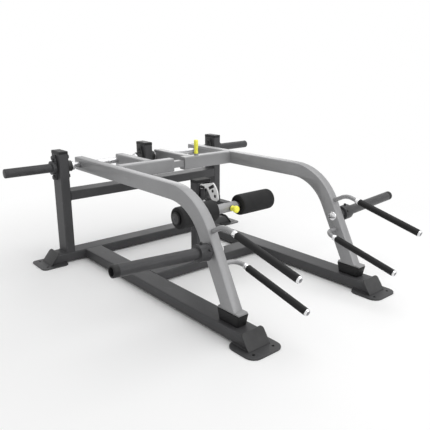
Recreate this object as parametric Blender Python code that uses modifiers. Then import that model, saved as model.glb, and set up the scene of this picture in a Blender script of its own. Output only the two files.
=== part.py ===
"""Squat lunge machine.

Two lever arms with handles and weight plate horns swing on a floor frame, and a
pair of foam rollers on a short swing arm holds the user's lower legs.

Metres, +Z up. The user stands at -Y and faces +Y, and X = 0 is the middle of the
machine. The origin lies on the floor under the middle of the machine's box.
Every place below is measured from the lever arms' pivot axis in Y, from the
middle in X and from the floor in Z. The machine empty carries that frame.
"""

from math import acos, asin, cos, pi, radians, sin, tan

import bmesh
import bpy
from mathutils import Matrix, Vector

# Clearances
GAP = 0.0003              # between pieces that are bolted or welded face to face
RUNNING = 0.0004          # radial, between a turning piece and its bore
SLIDING = 0.0006          # per side, between a sliding bar and its guide
ARM_REST = 0.0005         # between an arm's foot and its rubber bumper
SHAFT_END = 0.0015        # between a pivot shaft's end and the post it points at
MERGE = 0.00001           # points closer than this are one

# Steel tubes of the floor frame
TUBE_WIDE = 0.100
TUBE_THIN = 0.050
TUBE_WALL = 0.003
TUBE_CORNER = 0.006
CORNER_STEPS = 2
BEAM_END_SLOPE = 0.81     # length that a slanted end gains per unit of height
SIDE_END_SLOPE = 0.70

# Places of the frame's members
ARM_X = 0.391             # middle of each lever arm and of the side tube under it
POST_X = 0.525
REAR_BEAM_PAST_POST = 0.0945  # from the middle of the post, at half height of the slanted end
MIDDLE_BEAM_Y = -0.555
PIVOT_Z = 0.523
POST_ABOVE_PIVOT = 0.072
UPPER_BEAM_BELOW_PIVOT = 0.1285
SIDE_TUBE_AHEAD = 0.1285  # of the middle of the arm's foot

# Foot plates
FOOT_THICK = 0.006
FOOT_HOLE = 0.0065
REAR_FOOT_LENGTH = 0.145
REAR_FOOT_WIDTH = 0.170
REAR_FOOT_PAST_BEAM = 0.0805
REAR_FOOT_HOLE_EDGE = 0.035
REAR_FOOT_HOLE_SPACING = 0.105
REAR_FOOT_CORNER = 0.025
FRONT_FOOT_WIDTH = 0.171
FRONT_FOOT_LENGTH = 0.156
FRONT_FOOT_PAST_TUBE = 0.078
FRONT_FOOT_HOLE_EDGE = 0.033
FRONT_FOOT_HOLE_SPACING = 0.104
FRONT_FOOT_CORNER = 0.040

# Moulded caps in the tube ends
CAP_THICK = 0.008
POST_CAP_THICK = 0.015
CAP_ABOVE = 0.010         # of a slanted cap over the top of its tube
CAP_BESIDE = 0.008
CAP_PLUG = 0.008
CAP_ROUND = 0.003

# Flanged bearings and their shafts
SHAFT_R = 0.0170
BEARING_BOSS_R = 0.029
BEARING_LENGTH = 0.032
FLANGE_THICK = 0.012
FLANGE_END_R = 0.016
BOLT_SPACING = 0.102
BOLT_HEAD_R = 0.0125
BOLT_HEAD_THICK = 0.009
SHAFT_COLLAR_R = 0.024
SHAFT_COLLAR_LENGTH = 0.014
SHAFT_COLLAR_PLAY = 0.001

# Lever arms
RAIL_WIDE = 0.050
RAIL_HIGH = 0.070
RAIL_WALL = 0.003
RAIL_CORNER = 0.006
RAIL_BEHIND_PIVOT = 0.055
RAIL_STRAIGHT = 0.840     # from the pivot to the start of the bend
RAIL_BEND_R = 0.254
LEG_ANGLE = radians(62)   # of the leg below the level
LEG_FOOT_LENGTH = 0.124
LEG_FOOT_THICK = 0.007
LEG_FOOT_AHEAD = 0.0045
LEG_DRAIN_R = 0.006
LEFT_INNER_RAIL_X = -0.166
RIGHT_INNER_RAIL_X = 0.095
INNER_RAIL_BEHIND = 0.003
CROSS_TUBE_REACH = 0.325  # from the pivot to the middle of the cross tubes
CROSS_TUBE_DEEP = 0.050
CROSS_TUBE_GAP = 0.073    # between the free ends of the two cross tubes
CROSS_TUBE_END_WALL = 0.004

# Rubber bumpers
BUMPER_WIDE = 0.060       # at its top
BUMPER_LONG = 0.127
BUMPER_HIGH = 0.049
BUMPER_CORNER = 0.008
BUMPER_DRAFT_WIDE = 0.004  # how much smaller the bottom is, on each side
BUMPER_DRAFT_LONG = 0.009

# Horns for the weight plates
HORN_R = 0.0235
HORN_WALL = 0.003
LOAD_HORN_DOWN = 0.0720   # along the leg from the end of the bend
LOAD_HORN_AHEAD = 0.0101
LOAD_HORN_LENGTH = 0.416  # of the steel tube, without its end cap
LOAD_HORN_TILT = radians(3.5)
LOAD_FLANGE_R = 0.0365
LOAD_FLANGE_THICK = 0.052
LOAD_FLANGE_START = 0.016
LOAD_CAP_LENGTH = 0.024
LOAD_CAP_RECESS_R = 0.0165
LOAD_CAP_RECESS = 0.020
LOAD_CAP_ROUND = 0.006
HORN_PLUG = 0.025
STORAGE_HORN_LENGTH = 0.270
STORAGE_COLLAR_R = 0.036
STORAGE_COLLAR_START = 0.010
STORAGE_COLLAR_END = 0.028
STORAGE_CAP_THICK = 0.006
STORAGE_CAP_ROUND = 0.004

# Handles
ROD_R = 0.010
GRIP_R = 0.015
GRIP_LENGTH = 0.320
GRIP_ROUND = 0.003
HANDLE_TILT = radians(14.2)
COLLAR_R = 0.0135
COLLAR_LENGTH = 0.018
COLLAR_ROUND = 0.002
HANDLE_CAP_R = 0.014
HANDLE_CAP_LENGTH = 0.008
UPPER_HANDLE_DOWN = 0.001
UPPER_HANDLE_STEM = 0.0755
UPPER_HANDLE_BEND_R = 0.085
UPPER_COLLAR_START = 0.0567
LOWER_HANDLE_DOWN = 0.137
LOWER_HANDLE_INSET = 0.0775
LOWER_HANDLE_BEND_R = 0.045
LOWER_COLLAR_START = 0.048

# Link bar that locks the two arms together, and its pull pin
LINK_BAR = 0.035
LINK_BAR_WALL = 0.004
LINK_BAR_LENGTH = 0.240
LINK_TRAVEL = 0.055
LINK_TIP_CLEAR = 0.0008   # between the drawn back bar and the left cross tube
LINK_GUIDE_LENGTH = 0.030
LINK_PIN_PAST_TUBE_END = 0.097
LINK_PIN_R = 0.005
LINK_PIN_DEPTH = 0.006
LINK_PIN_TRAVEL = 0.012
LINK_KNOB_R = 0.012
LINK_KNOB_LENGTH = 0.078
LINK_KNOB_ROUND = 0.005
PIN_HOUSING_R = 0.013
PIN_HOUSING_LENGTH = 0.008

# Roller arm and its bracket
ROLLER_Z = 0.365
ROLLER_POST_ABOVE = 0.093
BRACKET_REACH = 0.045     # from the roller post's face to the roller arm's pivot
BRACKET_PLATE = 0.006
BRACKET_WIDE = 0.080
BRACKET_BELOW = 0.035
EAR_THICK = 0.006
EAR_R = 0.022
ROLLER_ARM_WIDE = 0.044
ROLLER_ARM_HIGH = 0.050
ROLLER_ARM_CORNER = 0.004
ROLLER_ARM_BEHIND = 0.025
ROLLER_REACH = 0.150      # from the roller arm's pivot to the rollers' axis
PIVOT_BOLT_R = 0.008
PIVOT_BOLT_HEAD_R = 0.0135
EYE_HOLE_R = 0.0055
EYE_BACK = 0.019          # from the roller arm's pivot towards the post
EYE_UP = 0.079
EYE_R = 0.014

# Selector plate, drawn from the roller arm's pivot: backward and up
SELECTOR_THICK = 0.006
SELECTOR_HOLE_RING = 0.100
SELECTOR_HOLE_R = 0.006
SELECTOR_HOLES = (radians(29), radians(46))
SELECTOR_OUTER_R = 0.0905
SELECTOR_OUTER_CENTRE = (-0.020, 0.040)
SELECTOR_OUTER_START = radians(-4)
SELECTOR_OUTER_END = radians(50)
SELECTOR_TOP = (-0.070, 0.1135)
SELECTOR_INNER_R = 0.180
SELECTOR_INNER_CENTRE = (0.103, -0.054)
SELECTOR_INNER_START = radians(28.5)
SELECTOR_INNER_END = radians(47)
SELECTOR_EYE_START = radians(100)   # of the rounding about the eye bolt
SELECTOR_EYE_END = radians(-60)
SELECTOR_BOTTOM = ((-0.066, 0.0245), (-0.098, 0.0245))
SLOT_ANGLE = radians(57.5)
SLOT_RING = 0.105
SLOT_TILT = radians(27)
SLOT_LONG = 0.032
SLOT_WIDE = 0.013
SELECTOR_EAR_HALF = 0.018

# Rollers
SLEEVE_R = 0.024
SLEEVE_LEFT = 0.0955      # ends of the sleeve, from the middle
SLEEVE_RIGHT = 0.045
ROLLER_SHAFT_R = 0.0125
ROLLER_FOAM_R = 0.0525
ROLLER_FOAM_ROUND = 0.010
ROLLER_LENGTH = 0.219
LEFT_SPACER = 0.0015
RIGHT_SPACER = 0.0145
ROLLER_SPACER_R = 0.018
ROLLER_PLAY = 0.0005
ROLLER_HEAD_R = 0.029
ROLLER_HEAD_THICK = 0.006

# Pull knob on the front of the sleeve
KNOB_ROD_R = 0.005
KNOB_ROD_CLEAR = 0.010
KNOB_NECK_R = 0.011
KNOB_NECK = 0.014
KNOB_R = 0.0185
KNOB_LENGTH = 0.030
KNOB_ROUND = 0.007

RIGHT = Vector((1, 0, 0))
BACK = Vector((0, 1, 0))
UP = Vector((0, 0, 1))
FORWARD = -BACK

SIDES = (("left", -1), ("right", 1))
ROUND_SIDES = 24
BORE_SIDES = 32
THIN_SIDES = 16
HOLE_SIDES = 12
FOOT_CORNER_STEPS = 4
BEND_STEPS = 10
ROUNDING_STEPS = 2
FLANGE_STEPS = 6
EAR_STEPS = 12
OUTER_EDGE_STEPS = 8
INNER_EDGE_STEPS = 5
EYE_STEPS = 6
ROD_RESOLUTION = 4
HEX_SIDES = 6

# Heights and reaches that follow from the sizes above
REAR_BEAM_HALF = POST_X + REAR_BEAM_PAST_POST
TUBE_BOTTOM = FOOT_THICK + GAP
TUBE_TOP = TUBE_BOTTOM + TUBE_THIN
TUBE_MIDDLE = TUBE_BOTTOM + TUBE_THIN / 2
POST_BOTTOM = TUBE_TOP + GAP
POST_TOP = PIVOT_Z + POST_ABOVE_PIVOT
UPPER_BEAM_TOP = PIVOT_Z - UPPER_BEAM_BELOW_PIVOT
ROLLER_POST_TOP = ROLLER_Z + ROLLER_POST_ABOVE
BUMPER_BOTTOM = TUBE_TOP + GAP
LEG_FOOT_BOTTOM = BUMPER_BOTTOM + BUMPER_HIGH + ARM_REST
LEG_BOTTOM = LEG_FOOT_BOTTOM + LEG_FOOT_THICK / 2

# The lever arm's line: level from the pivot, one bend, then the leg
LEG_ALONG = Vector((0, -cos(LEG_ANGLE), -sin(LEG_ANGLE)))
LEG_FRONT = Vector((0, -sin(LEG_ANGLE), cos(LEG_ANGLE)))
BEND_SETBACK = RAIL_BEND_R * tan(LEG_ANGLE / 2)
RAIL_START = Vector((0, RAIL_BEHIND_PIVOT, PIVOT_Z))
RAIL_CORNER_POINT = Vector((0, -RAIL_STRAIGHT - BEND_SETBACK, PIVOT_Z))
BEND_END = RAIL_CORNER_POINT + LEG_ALONG * BEND_SETBACK
LEG_END = BEND_END + LEG_ALONG * ((BEND_END.z - LEG_BOTTOM) / sin(LEG_ANGLE))
LEG_FOOT_Y = LEG_END.y - LEG_FOOT_AHEAD
SIDE_TUBE_FRONT = LEG_FOOT_Y - SIDE_TUBE_AHEAD

# Both handles run forward and down at one tilt
HANDLE_ALONG = Vector((0, -cos(HANDLE_TILT), -sin(HANDLE_TILT)))
UPPER_HANDLE_ROOT = BEND_END + LEG_ALONG * UPPER_HANDLE_DOWN + LEG_FRONT * (RAIL_HIGH / 2 + GAP)
UPPER_HANDLE_CORNER = UPPER_HANDLE_ROOT + LEG_FRONT * UPPER_HANDLE_STEM
LOWER_HANDLE_LEVEL = BEND_END + LEG_ALONG * LOWER_HANDLE_DOWN

# The box's front is the rim of the upper handles' end caps, its back the rear feet
HANDLE_END = UPPER_COLLAR_START + COLLAR_LENGTH + GRIP_LENGTH + 2 * GAP + HANDLE_CAP_LENGTH
HANDLE_TIP = UPPER_HANDLE_CORNER + HANDLE_ALONG * HANDLE_END
FRONT_REACH = -HANDLE_TIP.y + (HANDLE_CAP_R - GRIP_ROUND) * sin(HANDLE_TILT)
BACK_REACH = REAR_FOOT_WIDTH / 2
PIVOT_Y = (FRONT_REACH - BACK_REACH) / 2

# Roller post, the roller arm's pivot and the rollers' axis
ROLLER_POST_Y = MIDDLE_BEAM_Y + (TUBE_WIDE - TUBE_THIN) / 2
ROLLER_POST_FACE = ROLLER_POST_Y - TUBE_THIN / 2
ROLLER_PIVOT = Vector((0, ROLLER_POST_FACE - BRACKET_REACH, ROLLER_Z))
ROLLER_AXIS = ROLLER_PIVOT + FORWARD * ROLLER_REACH
LEFT_EAR_X = -(ROLLER_ARM_WIDE + EAR_THICK) / 2 - GAP
SELECTOR_X = LEFT_EAR_X - (EAR_THICK + SELECTOR_THICK) / 2 - GAP

# Link bar, drawn back into the right cross tube
LINK_TIP_X = -CROSS_TUBE_GAP / 2 + LINK_TIP_CLEAR
LINK_PIN_X = CROSS_TUBE_GAP / 2 + LINK_PIN_PAST_TUBE_END
LINK_LINE = Vector((0, -CROSS_TUBE_REACH, PIVOT_Z))
RAIL_TOP = PIVOT_Z + RAIL_HIGH / 2


def new_collection(name):
    collection = bpy.data.collections.new(name)
    bpy.context.scene.collection.children.link(collection)
    return collection


def new_material(name, colour, metallic, roughness):
    material = bpy.data.materials.new(name)
    material.use_nodes = True
    shader = material.node_tree.nodes["Principled BSDF"]
    shader.inputs["Base Color"].default_value = (*colour, 1)
    shader.inputs["Metallic"].default_value = metallic
    shader.inputs["Roughness"].default_value = roughness
    material.diffuse_color = (*colour, 1)
    return material


for old in list(bpy.data.objects):
    bpy.data.objects.remove(old)

parts = new_collection("squat_lunge_machine")
cutters = new_collection("cutters")

CHARCOAL = ((0.070, 0.070, 0.072), 0.6, 0.42)
SILVER = ((0.42, 0.42, 0.43), 0.8, 0.38)
RUBBER = ((0.018, 0.018, 0.019), 0.0, 0.75)
PLASTIC = ((0.022, 0.022, 0.023), 0.0, 0.50)
FOAM = ((0.020, 0.020, 0.021), 0.0, 0.90)
ZINC = ((0.55, 0.55, 0.56), 1.0, 0.35)
WHITE = ((0.72, 0.72, 0.72), 0.2, 0.40)
YELLOW = ((0.90, 0.62, 0.01), 0.0, 0.35)


def new_body(name, origin, carrier=None):
    """An empty on a body's joint axis, with its place in the machine's frame."""
    empty = bpy.data.objects.new(name, None)
    empty.empty_display_size = 0.08
    parts.objects.link(empty)
    empty.parent = carrier
    empty.location = origin - body_origins[carrier] if carrier else origin
    body_origins[empty] = origin if carrier else Vector((0, 0, 0))
    return empty


body_origins = {}
machine = new_body("machine", Vector((0, PIVOT_Y, 0)))
arm_bodies = {side: new_body(side + "_arm_pivot", Vector((0, 0, PIVOT_Z)), machine) for side, _ in SIDES}
link_slide = new_body("link_slide", Vector((LINK_TIP_X, *LINK_LINE.yz)), arm_bodies["right"])
link_pull = new_body("link_pin_pull", Vector((LINK_PIN_X, LINK_LINE.y, RAIL_TOP)), arm_bodies["right"])
roller_body = new_body("roller_arm_pivot", ROLLER_PIVOT, machine)
roller_spins = {side: new_body(side + "_roller_spin", ROLLER_AXIS, roller_body) for side, _ in SIDES}
knob_pull = new_body("roller_knob_pull", ROLLER_AXIS, roller_body)


def placed(origin, along=UP, up=BACK):
    """Puts local Z along one direction and local Y along another, square to it."""
    rotation = Matrix((up.cross(along), up, along)).transposed()
    return Matrix.Translation(origin) @ rotation.to_4x4()


def add(name, data, look, place, carrier=None):
    """Adds one named piece, placed in the machine's frame, on the body that carries it."""
    carrier = carrier or machine
    piece = bpy.data.objects.new(name, data)
    parts.objects.link(piece)
    piece.parent = carrier
    piece.matrix_local = Matrix.Translation(-body_origins[carrier]) @ place
    if look and not data.materials:
        data.materials.append(new_material(name + "_finish", *look))
    return piece


def make_cutter(piece):
    parts.objects.unlink(piece)
    cutters.objects.link(piece)
    piece.hide_render = True
    piece.display_type = "WIRE"


def boolean(piece, tool, operation):
    modifier = piece.modifiers.new(tool.name, "BOOLEAN")
    modifier.operation = operation
    modifier.solver = "EXACT"
    modifier.object = tool
    if tool.name not in cutters.objects:
        make_cutter(tool)


def cut(piece, *tools):
    for tool in tools:
        boolean(piece, tool, "DIFFERENCE")


def join(piece, *tools):
    for tool in tools:
        boolean(piece, tool, "UNION")


def evaluated_mesh(piece):
    """The piece's shape with its modifiers and with its loose caps welded on."""
    bpy.context.view_layer.update()
    depsgraph = bpy.context.evaluated_depsgraph_get()
    mesh = bpy.data.meshes.new_from_object(piece.evaluated_get(depsgraph))
    shape = bmesh.new()
    shape.from_mesh(mesh)
    bmesh.ops.remove_doubles(shape, verts=shape.verts, dist=MERGE)
    bmesh.ops.recalc_face_normals(shape, faces=shape.faces)
    shape.to_mesh(mesh)
    shape.free()
    return mesh


def as_mesh(piece):
    """Replaces a curve or a modified piece by a plain mesh in the same place."""
    mesh = evaluated_mesh(piece)
    name = piece.name
    solid = bpy.data.objects.new(name, mesh)
    parts.objects.link(solid)
    solid.parent = piece.parent
    solid.matrix_local = piece.matrix_local.copy()
    bpy.data.objects.remove(piece)
    solid.name = name
    return solid


def rounded_rectangle(width, height, radius, steps=CORNER_STEPS, centre=(0, 0)):
    """The corner arcs of a rectangle, anticlockwise from the right."""
    points = []
    corners = ((1, 1), (-1, 1), (-1, -1), (1, -1))
    for quarter, (side, level) in enumerate(corners):
        x = centre[0] + side * (width / 2 - radius)
        y = centre[1] + level * (height / 2 - radius)
        for step in range(steps + 1):
            angle = (quarter + step / steps) * pi / 2
            points.append((x + radius * cos(angle), y + radius * sin(angle)))
    return points


def arc(radius, start, end, steps, centre=(0, 0)):
    """Points on a circle from one angle to another, turning from right to up."""
    angles = [start + (end - start) * step / steps for step in range(steps + 1)]
    return [(centre[0] + radius * cos(angle), centre[1] + radius * sin(angle)) for angle in angles]


def circle(radius, centre=(0, 0), sides=ROUND_SIDES):
    return arc(radius, 0, 2 * pi * (sides - 1) / sides, sides - 1, centre)


def outline(name, loops, thickness, look, place, carrier=None):
    """A flat plate or a straight tube: closed loops, filled and made thick both ways."""
    curve = bpy.data.curves.new(name, "CURVE")
    curve.dimensions = "2D"
    curve.fill_mode = "BOTH"
    curve.extrude = thickness / 2
    for loop in loops:
        spline = curve.splines.new("POLY")
        spline.points.add(len(loop) - 1)
        for point, (x, y) in zip(spline.points, loop):
            point.co = (x, y, 0, 1)
        spline.use_cyclic_u = True
    return add(name, curve, look, place, carrier)


def tube(name, start, end, up, width, height, look, carrier=None, wall=TUBE_WALL, corner=TUBE_CORNER):
    """A straight steel tube between two points, open at both ends."""
    outer = rounded_rectangle(width, height, corner)
    inner = rounded_rectangle(width - 2 * wall, height - 2 * wall, corner - wall)
    along = (end - start).normalized()
    place = placed((start + end) / 2, along, up)
    return outline(name, (outer, inner), (end - start).length, look, place, carrier)


def turned(name, profile, look, place, carrier=None, sides=ROUND_SIDES, ring=False):
    """A turned piece about local Z, from (radius, height) points down its outer side."""
    mesh = bpy.data.meshes.new(name)
    points = [(radius, 0, height) for radius, height in profile]
    edges = [(index, index + 1) for index in range(len(points) - 1)]
    if ring:
        edges.append((len(points) - 1, 0))
    mesh.from_pydata(points, edges, [])
    piece = add(name, mesh, look, place, carrier)
    screw = piece.modifiers.new("Turn", "SCREW")
    screw.steps = sides
    screw.render_steps = sides
    screw.use_merge_vertices = True
    screw.merge_threshold = MERGE
    return piece


def ring_profile(bore, radius, bottom, top, rounding, steps=ROUNDING_STEPS):
    """A ring with rounded outer edges: up its bore, over the top and down its outer side."""
    upper = arc(rounding, pi / 2, 0, steps, (radius - rounding, top - rounding))
    lower = arc(rounding, 0, -pi / 2, steps, (radius - rounding, bottom + rounding))
    return [(bore, bottom), (bore, top)] + upper + lower


def cylinder(name, origin, along, radius, length, sides=ROUND_SIDES, look=None):
    """A plain round bar, or with six sides a hexagon, centred on a point."""
    shape = bmesh.new()
    bmesh.ops.create_cone(
        shape, cap_ends=True, segments=sides, radius1=radius, radius2=radius, depth=length
    )
    mesh = bpy.data.meshes.new(name)
    shape.to_mesh(mesh)
    shape.free()
    up = UP if abs(along.z) < 0.5 else BACK
    return add(name, mesh, look, placed(origin, along, up))


def box(name, low, high, look=None, carrier=None):
    """A block between two corners, with its origin at its middle."""
    shape = bmesh.new()
    bmesh.ops.create_cube(shape, size=1)
    size = Vector(high) - Vector(low)
    bmesh.ops.scale(shape, vec=size, verts=shape.verts)
    mesh = bpy.data.meshes.new(name)
    shape.to_mesh(mesh)
    shape.free()
    middle = (Vector(high) + Vector(low)) / 2
    return add(name, mesh, look, Matrix.Translation(middle), carrier)


def slant_end(piece, end, slope):
    """Slides one end's vertices along the tube, so that its lower edge reaches further."""
    for vertex in piece.data.vertices:
        if vertex.co.z * end > 0:
            vertex.co.z -= end * slope * vertex.co.y


def tube_cap(name, place, above=0, beside=0, slope=0, thick=POST_CAP_THICK):
    """A moulded cap: a plate over a tube's end, with a plug that fits inside the tube.

    Local Z points out of the tube and local Y up its section.
    """
    half_wide = TUBE_WIDE / 2
    half_high = TUBE_THIN / 2
    plug_wide = half_wide - TUBE_WALL - GAP
    plug_high = half_high - TUBE_WALL - GAP
    shape = bmesh.new()
    bmesh.ops.create_cube(shape, size=2)
    for vertex in shape.verts:
        vertex.co.x *= half_wide + beside
        vertex.co.y = half_high + above if vertex.co.y > 0 else -half_high
        vertex.co.z = GAP + (thick if vertex.co.z > 0 else 0)
    back = min(shape.faces, key=lambda face: face.calc_center_median().z)
    bmesh.ops.inset_region(shape, faces=[back], thickness=TUBE_WALL)
    for vertex in back.verts:
        vertex.co.x = plug_wide if vertex.co.x > 0 else -plug_wide
        vertex.co.y = plug_high if vertex.co.y > 0 else -plug_high
    extruded = bmesh.ops.extrude_face_region(shape, geom=[back])["geom"]
    bmesh.ops.delete(shape, geom=[back], context="FACES_ONLY")
    for vertex in (item for item in extruded if isinstance(item, bmesh.types.BMVert)):
        vertex.co.z = -CAP_PLUG
    seat = [edge for edge in shape.edges if all(abs(end.co.z - GAP) < GAP / 2 for end in edge.verts)]
    rounded = [edge for edge in shape.edges if edge not in seat]
    bmesh.ops.bevel(shape, geom=rounded, offset=CAP_ROUND, segments=1, profile=0.5, affect="EDGES")
    for vertex in shape.verts:
        vertex.co.z -= slope * vertex.co.y
    bmesh.ops.recalc_face_normals(shape, faces=shape.faces)
    mesh = bpy.data.meshes.new(name)
    shape.to_mesh(mesh)
    shape.free()
    return add(name, mesh, PLASTIC, place)


def flange_loop(centre_r, end_r, spacing):
    """A two-bolt flange seen from the front: a round middle that narrows to round ends."""
    lean = asin((centre_r - end_r) / (spacing / 2))
    right = arc(centre_r, -lean, lean, CORNER_STEPS)
    top = arc(end_r, lean, pi - lean, FLANGE_STEPS, (0, spacing / 2))
    left = arc(centre_r, pi - lean, pi + lean, CORNER_STEPS)
    bottom = arc(end_r, pi + lean, 2 * pi - lean, FLANGE_STEPS, (0, -spacing / 2))
    return right + top + left + bottom


def bolted_flange(name, origin, along, holes):
    """A flange whose back is on the given point, joined with its two bolt heads."""
    loops = [flange_loop(BEARING_BOSS_R, FLANGE_END_R, BOLT_SPACING), *holes]
    place = placed(origin + along * (GAP + FLANGE_THICK / 2), along, UP)
    flange = as_mesh(outline(name, loops, FLANGE_THICK, CHARCOAL, place))
    top = FLANGE_THICK + BOLT_HEAD_THICK
    for level in (-1, 1):
        middle = origin + along * (GAP + top / 2 + FLANGE_THICK / 4)
        middle += UP * level * BOLT_SPACING / 2
        head_length = top - FLANGE_THICK / 2
        join(flange, cylinder(name + "_bolt", middle, along, BOLT_HEAD_R, head_length, HEX_SIDES))
    return flange


def hex_bolt(name, origin, along, grip, radius, head_r, head_thick):
    """A bolt with its head behind the origin and its nut past the grip length."""
    overlap = head_thick / 3
    head_middle = origin - along * (GAP + head_thick / 2)
    head = cylinder(name, head_middle, along, head_r, head_thick, HEX_SIDES, ZINC)
    nut_middle = origin + along * (grip + GAP + head_thick / 2)
    nut = cylinder(name + "_nut", nut_middle, along, head_r, head_thick, HEX_SIDES)
    shank_length = grip + 2 * (GAP + overlap)
    shank = cylinder(name + "_shank", origin + along * (grip / 2), along, radius, shank_length)
    join(head, shank, nut)


def bent_path(start, corner, end, radius, steps):
    """Points along two straight runs with a round bend at their corner."""
    into = (corner - start).normalized()
    out = (end - corner).normalized()
    angle = into.angle(out)
    inward = (out - into * out.dot(into)).normalized()
    first = corner - into * radius * tan(angle / 2)
    points = [start]
    for step in range(steps + 1):
        turn = angle * step / steps
        points.append(first + into * radius * sin(turn) + inward * radius * (1 - cos(turn)))
    points.append(end)
    return points


def path_curve(name, points):
    curve = bpy.data.curves.new(name, "CURVE")
    curve.dimensions = "3D"
    curve.use_fill_caps = True
    spline = curve.splines.new("POLY")
    spline.points.add(len(points) - 1)
    for point, place in zip(spline.points, points):
        point.co = (*place, 1)
    return curve


def swept(name, points, width, height, corner, look, carrier):
    """A solid bar of rounded rectangular section along a bent path."""
    section = outline(name + "_section", (rounded_rectangle(width, height, corner),), 0, None,
                      Matrix.Identity(4))
    curve = path_curve(name, points)
    curve.twist_mode = "Z_UP"
    curve.bevel_mode = "OBJECT"
    curve.bevel_object = section
    bar = as_mesh(add(name, curve, look, Matrix.Identity(4), carrier))
    bpy.data.objects.remove(section)
    return bar


def build_floor_frame():
    """The base: beams and side tubes on the floor, and the beam between the posts."""
    half = REAR_BEAM_HALF
    level = UP * TUBE_MIDDLE
    rear = as_mesh(tube("rear_base_beam", level - RIGHT * half, level + RIGHT * half, UP,
                        TUBE_WIDE, TUBE_THIN, CHARCOAL))
    slant_end(rear, 1, BEAM_END_SLOPE)
    slant_end(rear, -1, BEAM_END_SLOPE)

    rear_face = -TUBE_WIDE / 2 - GAP
    for side, sign in SIDES:
        back_end = Vector((sign * ARM_X, rear_face, TUBE_MIDDLE))
        front_end = Vector((sign * ARM_X, SIDE_TUBE_FRONT, TUBE_MIDDLE))
        side_tube = as_mesh(tube(side + "_side_tube", back_end, front_end, UP,
                                 TUBE_WIDE, TUBE_THIN, CHARCOAL))
        slant_end(side_tube, 1, SIDE_END_SLOPE)

    reach = RIGHT * (ARM_X - TUBE_WIDE / 2 - GAP)
    middle = Vector((0, MIDDLE_BEAM_Y, TUBE_MIDDLE))
    tube("middle_base_beam", middle - reach, middle + reach, UP, TUBE_WIDE, TUBE_THIN, CHARCOAL)

    reach = RIGHT * (POST_X - TUBE_THIN / 2 - GAP)
    upper = UP * (UPPER_BEAM_TOP - TUBE_THIN / 2)
    tube("upper_rear_beam", upper - reach, upper + reach, UP, TUBE_WIDE, TUBE_THIN, CHARCOAL)


def build_posts():
    """The two rear posts, the centre post on the upper beam, and the roller post."""
    for side, sign in SIDES:
        foot = Vector((sign * POST_X, 0, POST_BOTTOM))
        top = Vector((sign * POST_X, 0, POST_TOP))
        tube(side + "_rear_post", foot, top, BACK, TUBE_THIN, TUBE_WIDE, CHARCOAL)

    foot = UP * (UPPER_BEAM_TOP + GAP)
    tube("centre_post", foot, UP * POST_TOP, BACK, TUBE_THIN, TUBE_WIDE, CHARCOAL)

    foot = Vector((0, ROLLER_POST_Y, POST_BOTTOM))
    top = Vector((0, ROLLER_POST_Y, ROLLER_POST_TOP))
    tube("roller_post", foot, top, BACK, TUBE_WIDE, TUBE_THIN, CHARCOAL)


def build_feet():
    """Four steel floor plates with rounded corners and two fixing holes each."""
    middle_z = FOOT_THICK / 2
    for side, sign in SIDES:
        outer_x = REAR_BEAM_HALF + REAR_FOOT_PAST_BEAM
        middle = Vector((sign * (outer_x - REAR_FOOT_LENGTH / 2), 0, middle_z))
        hole_x = sign * (REAR_FOOT_LENGTH / 2 - REAR_FOOT_HOLE_EDGE)
        loops = [rounded_rectangle(REAR_FOOT_LENGTH, REAR_FOOT_WIDTH, REAR_FOOT_CORNER, FOOT_CORNER_STEPS)]
        for end in (-1, 1):
            loops.append(circle(FOOT_HOLE, (hole_x, end * REAR_FOOT_HOLE_SPACING / 2), HOLE_SIDES))
        outline(side + "_rear_foot", loops, FOOT_THICK, CHARCOAL, placed(middle))

        front_y = SIDE_TUBE_FRONT - FRONT_FOOT_PAST_TUBE
        middle = Vector((sign * ARM_X, front_y + FRONT_FOOT_LENGTH / 2, middle_z))
        hole_y = -FRONT_FOOT_LENGTH / 2 + FRONT_FOOT_HOLE_EDGE
        loops = [rounded_rectangle(FRONT_FOOT_WIDTH, FRONT_FOOT_LENGTH, FRONT_FOOT_CORNER, FOOT_CORNER_STEPS)]
        for end in (-1, 1):
            loops.append(circle(FOOT_HOLE, (end * FRONT_FOOT_HOLE_SPACING / 2, hole_y), HOLE_SIDES))
        outline(side + "_front_foot", loops, FOOT_THICK, CHARCOAL, placed(middle))


def build_tube_caps():
    """Slanted caps in the base tubes' ends, and level ones on the four posts."""
    for side, sign in SIDES:
        beam_end = Vector((sign * REAR_BEAM_HALF, 0, TUBE_MIDDLE))
        tube_cap(side + "_beam_cap", placed(beam_end, RIGHT * sign, UP), CAP_ABOVE, CAP_BESIDE,
                 BEAM_END_SLOPE, CAP_THICK)
        tube_end = Vector((sign * ARM_X, SIDE_TUBE_FRONT, TUBE_MIDDLE))
        tube_cap(side + "_side_tube_cap", placed(tube_end, FORWARD, UP), CAP_ABOVE, CAP_BESIDE,
                 SIDE_END_SLOPE, CAP_THICK)
        post_end = Vector((sign * POST_X, 0, POST_TOP))
        tube_cap(side + "_post_cap", placed(post_end, UP, RIGHT))
    tube_cap("centre_post_cap", placed(UP * POST_TOP, UP, RIGHT))
    roller_post_end = Vector((0, ROLLER_POST_Y, ROLLER_POST_TOP))
    tube_cap("roller_post_cap", placed(roller_post_end, UP, BACK))


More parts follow.
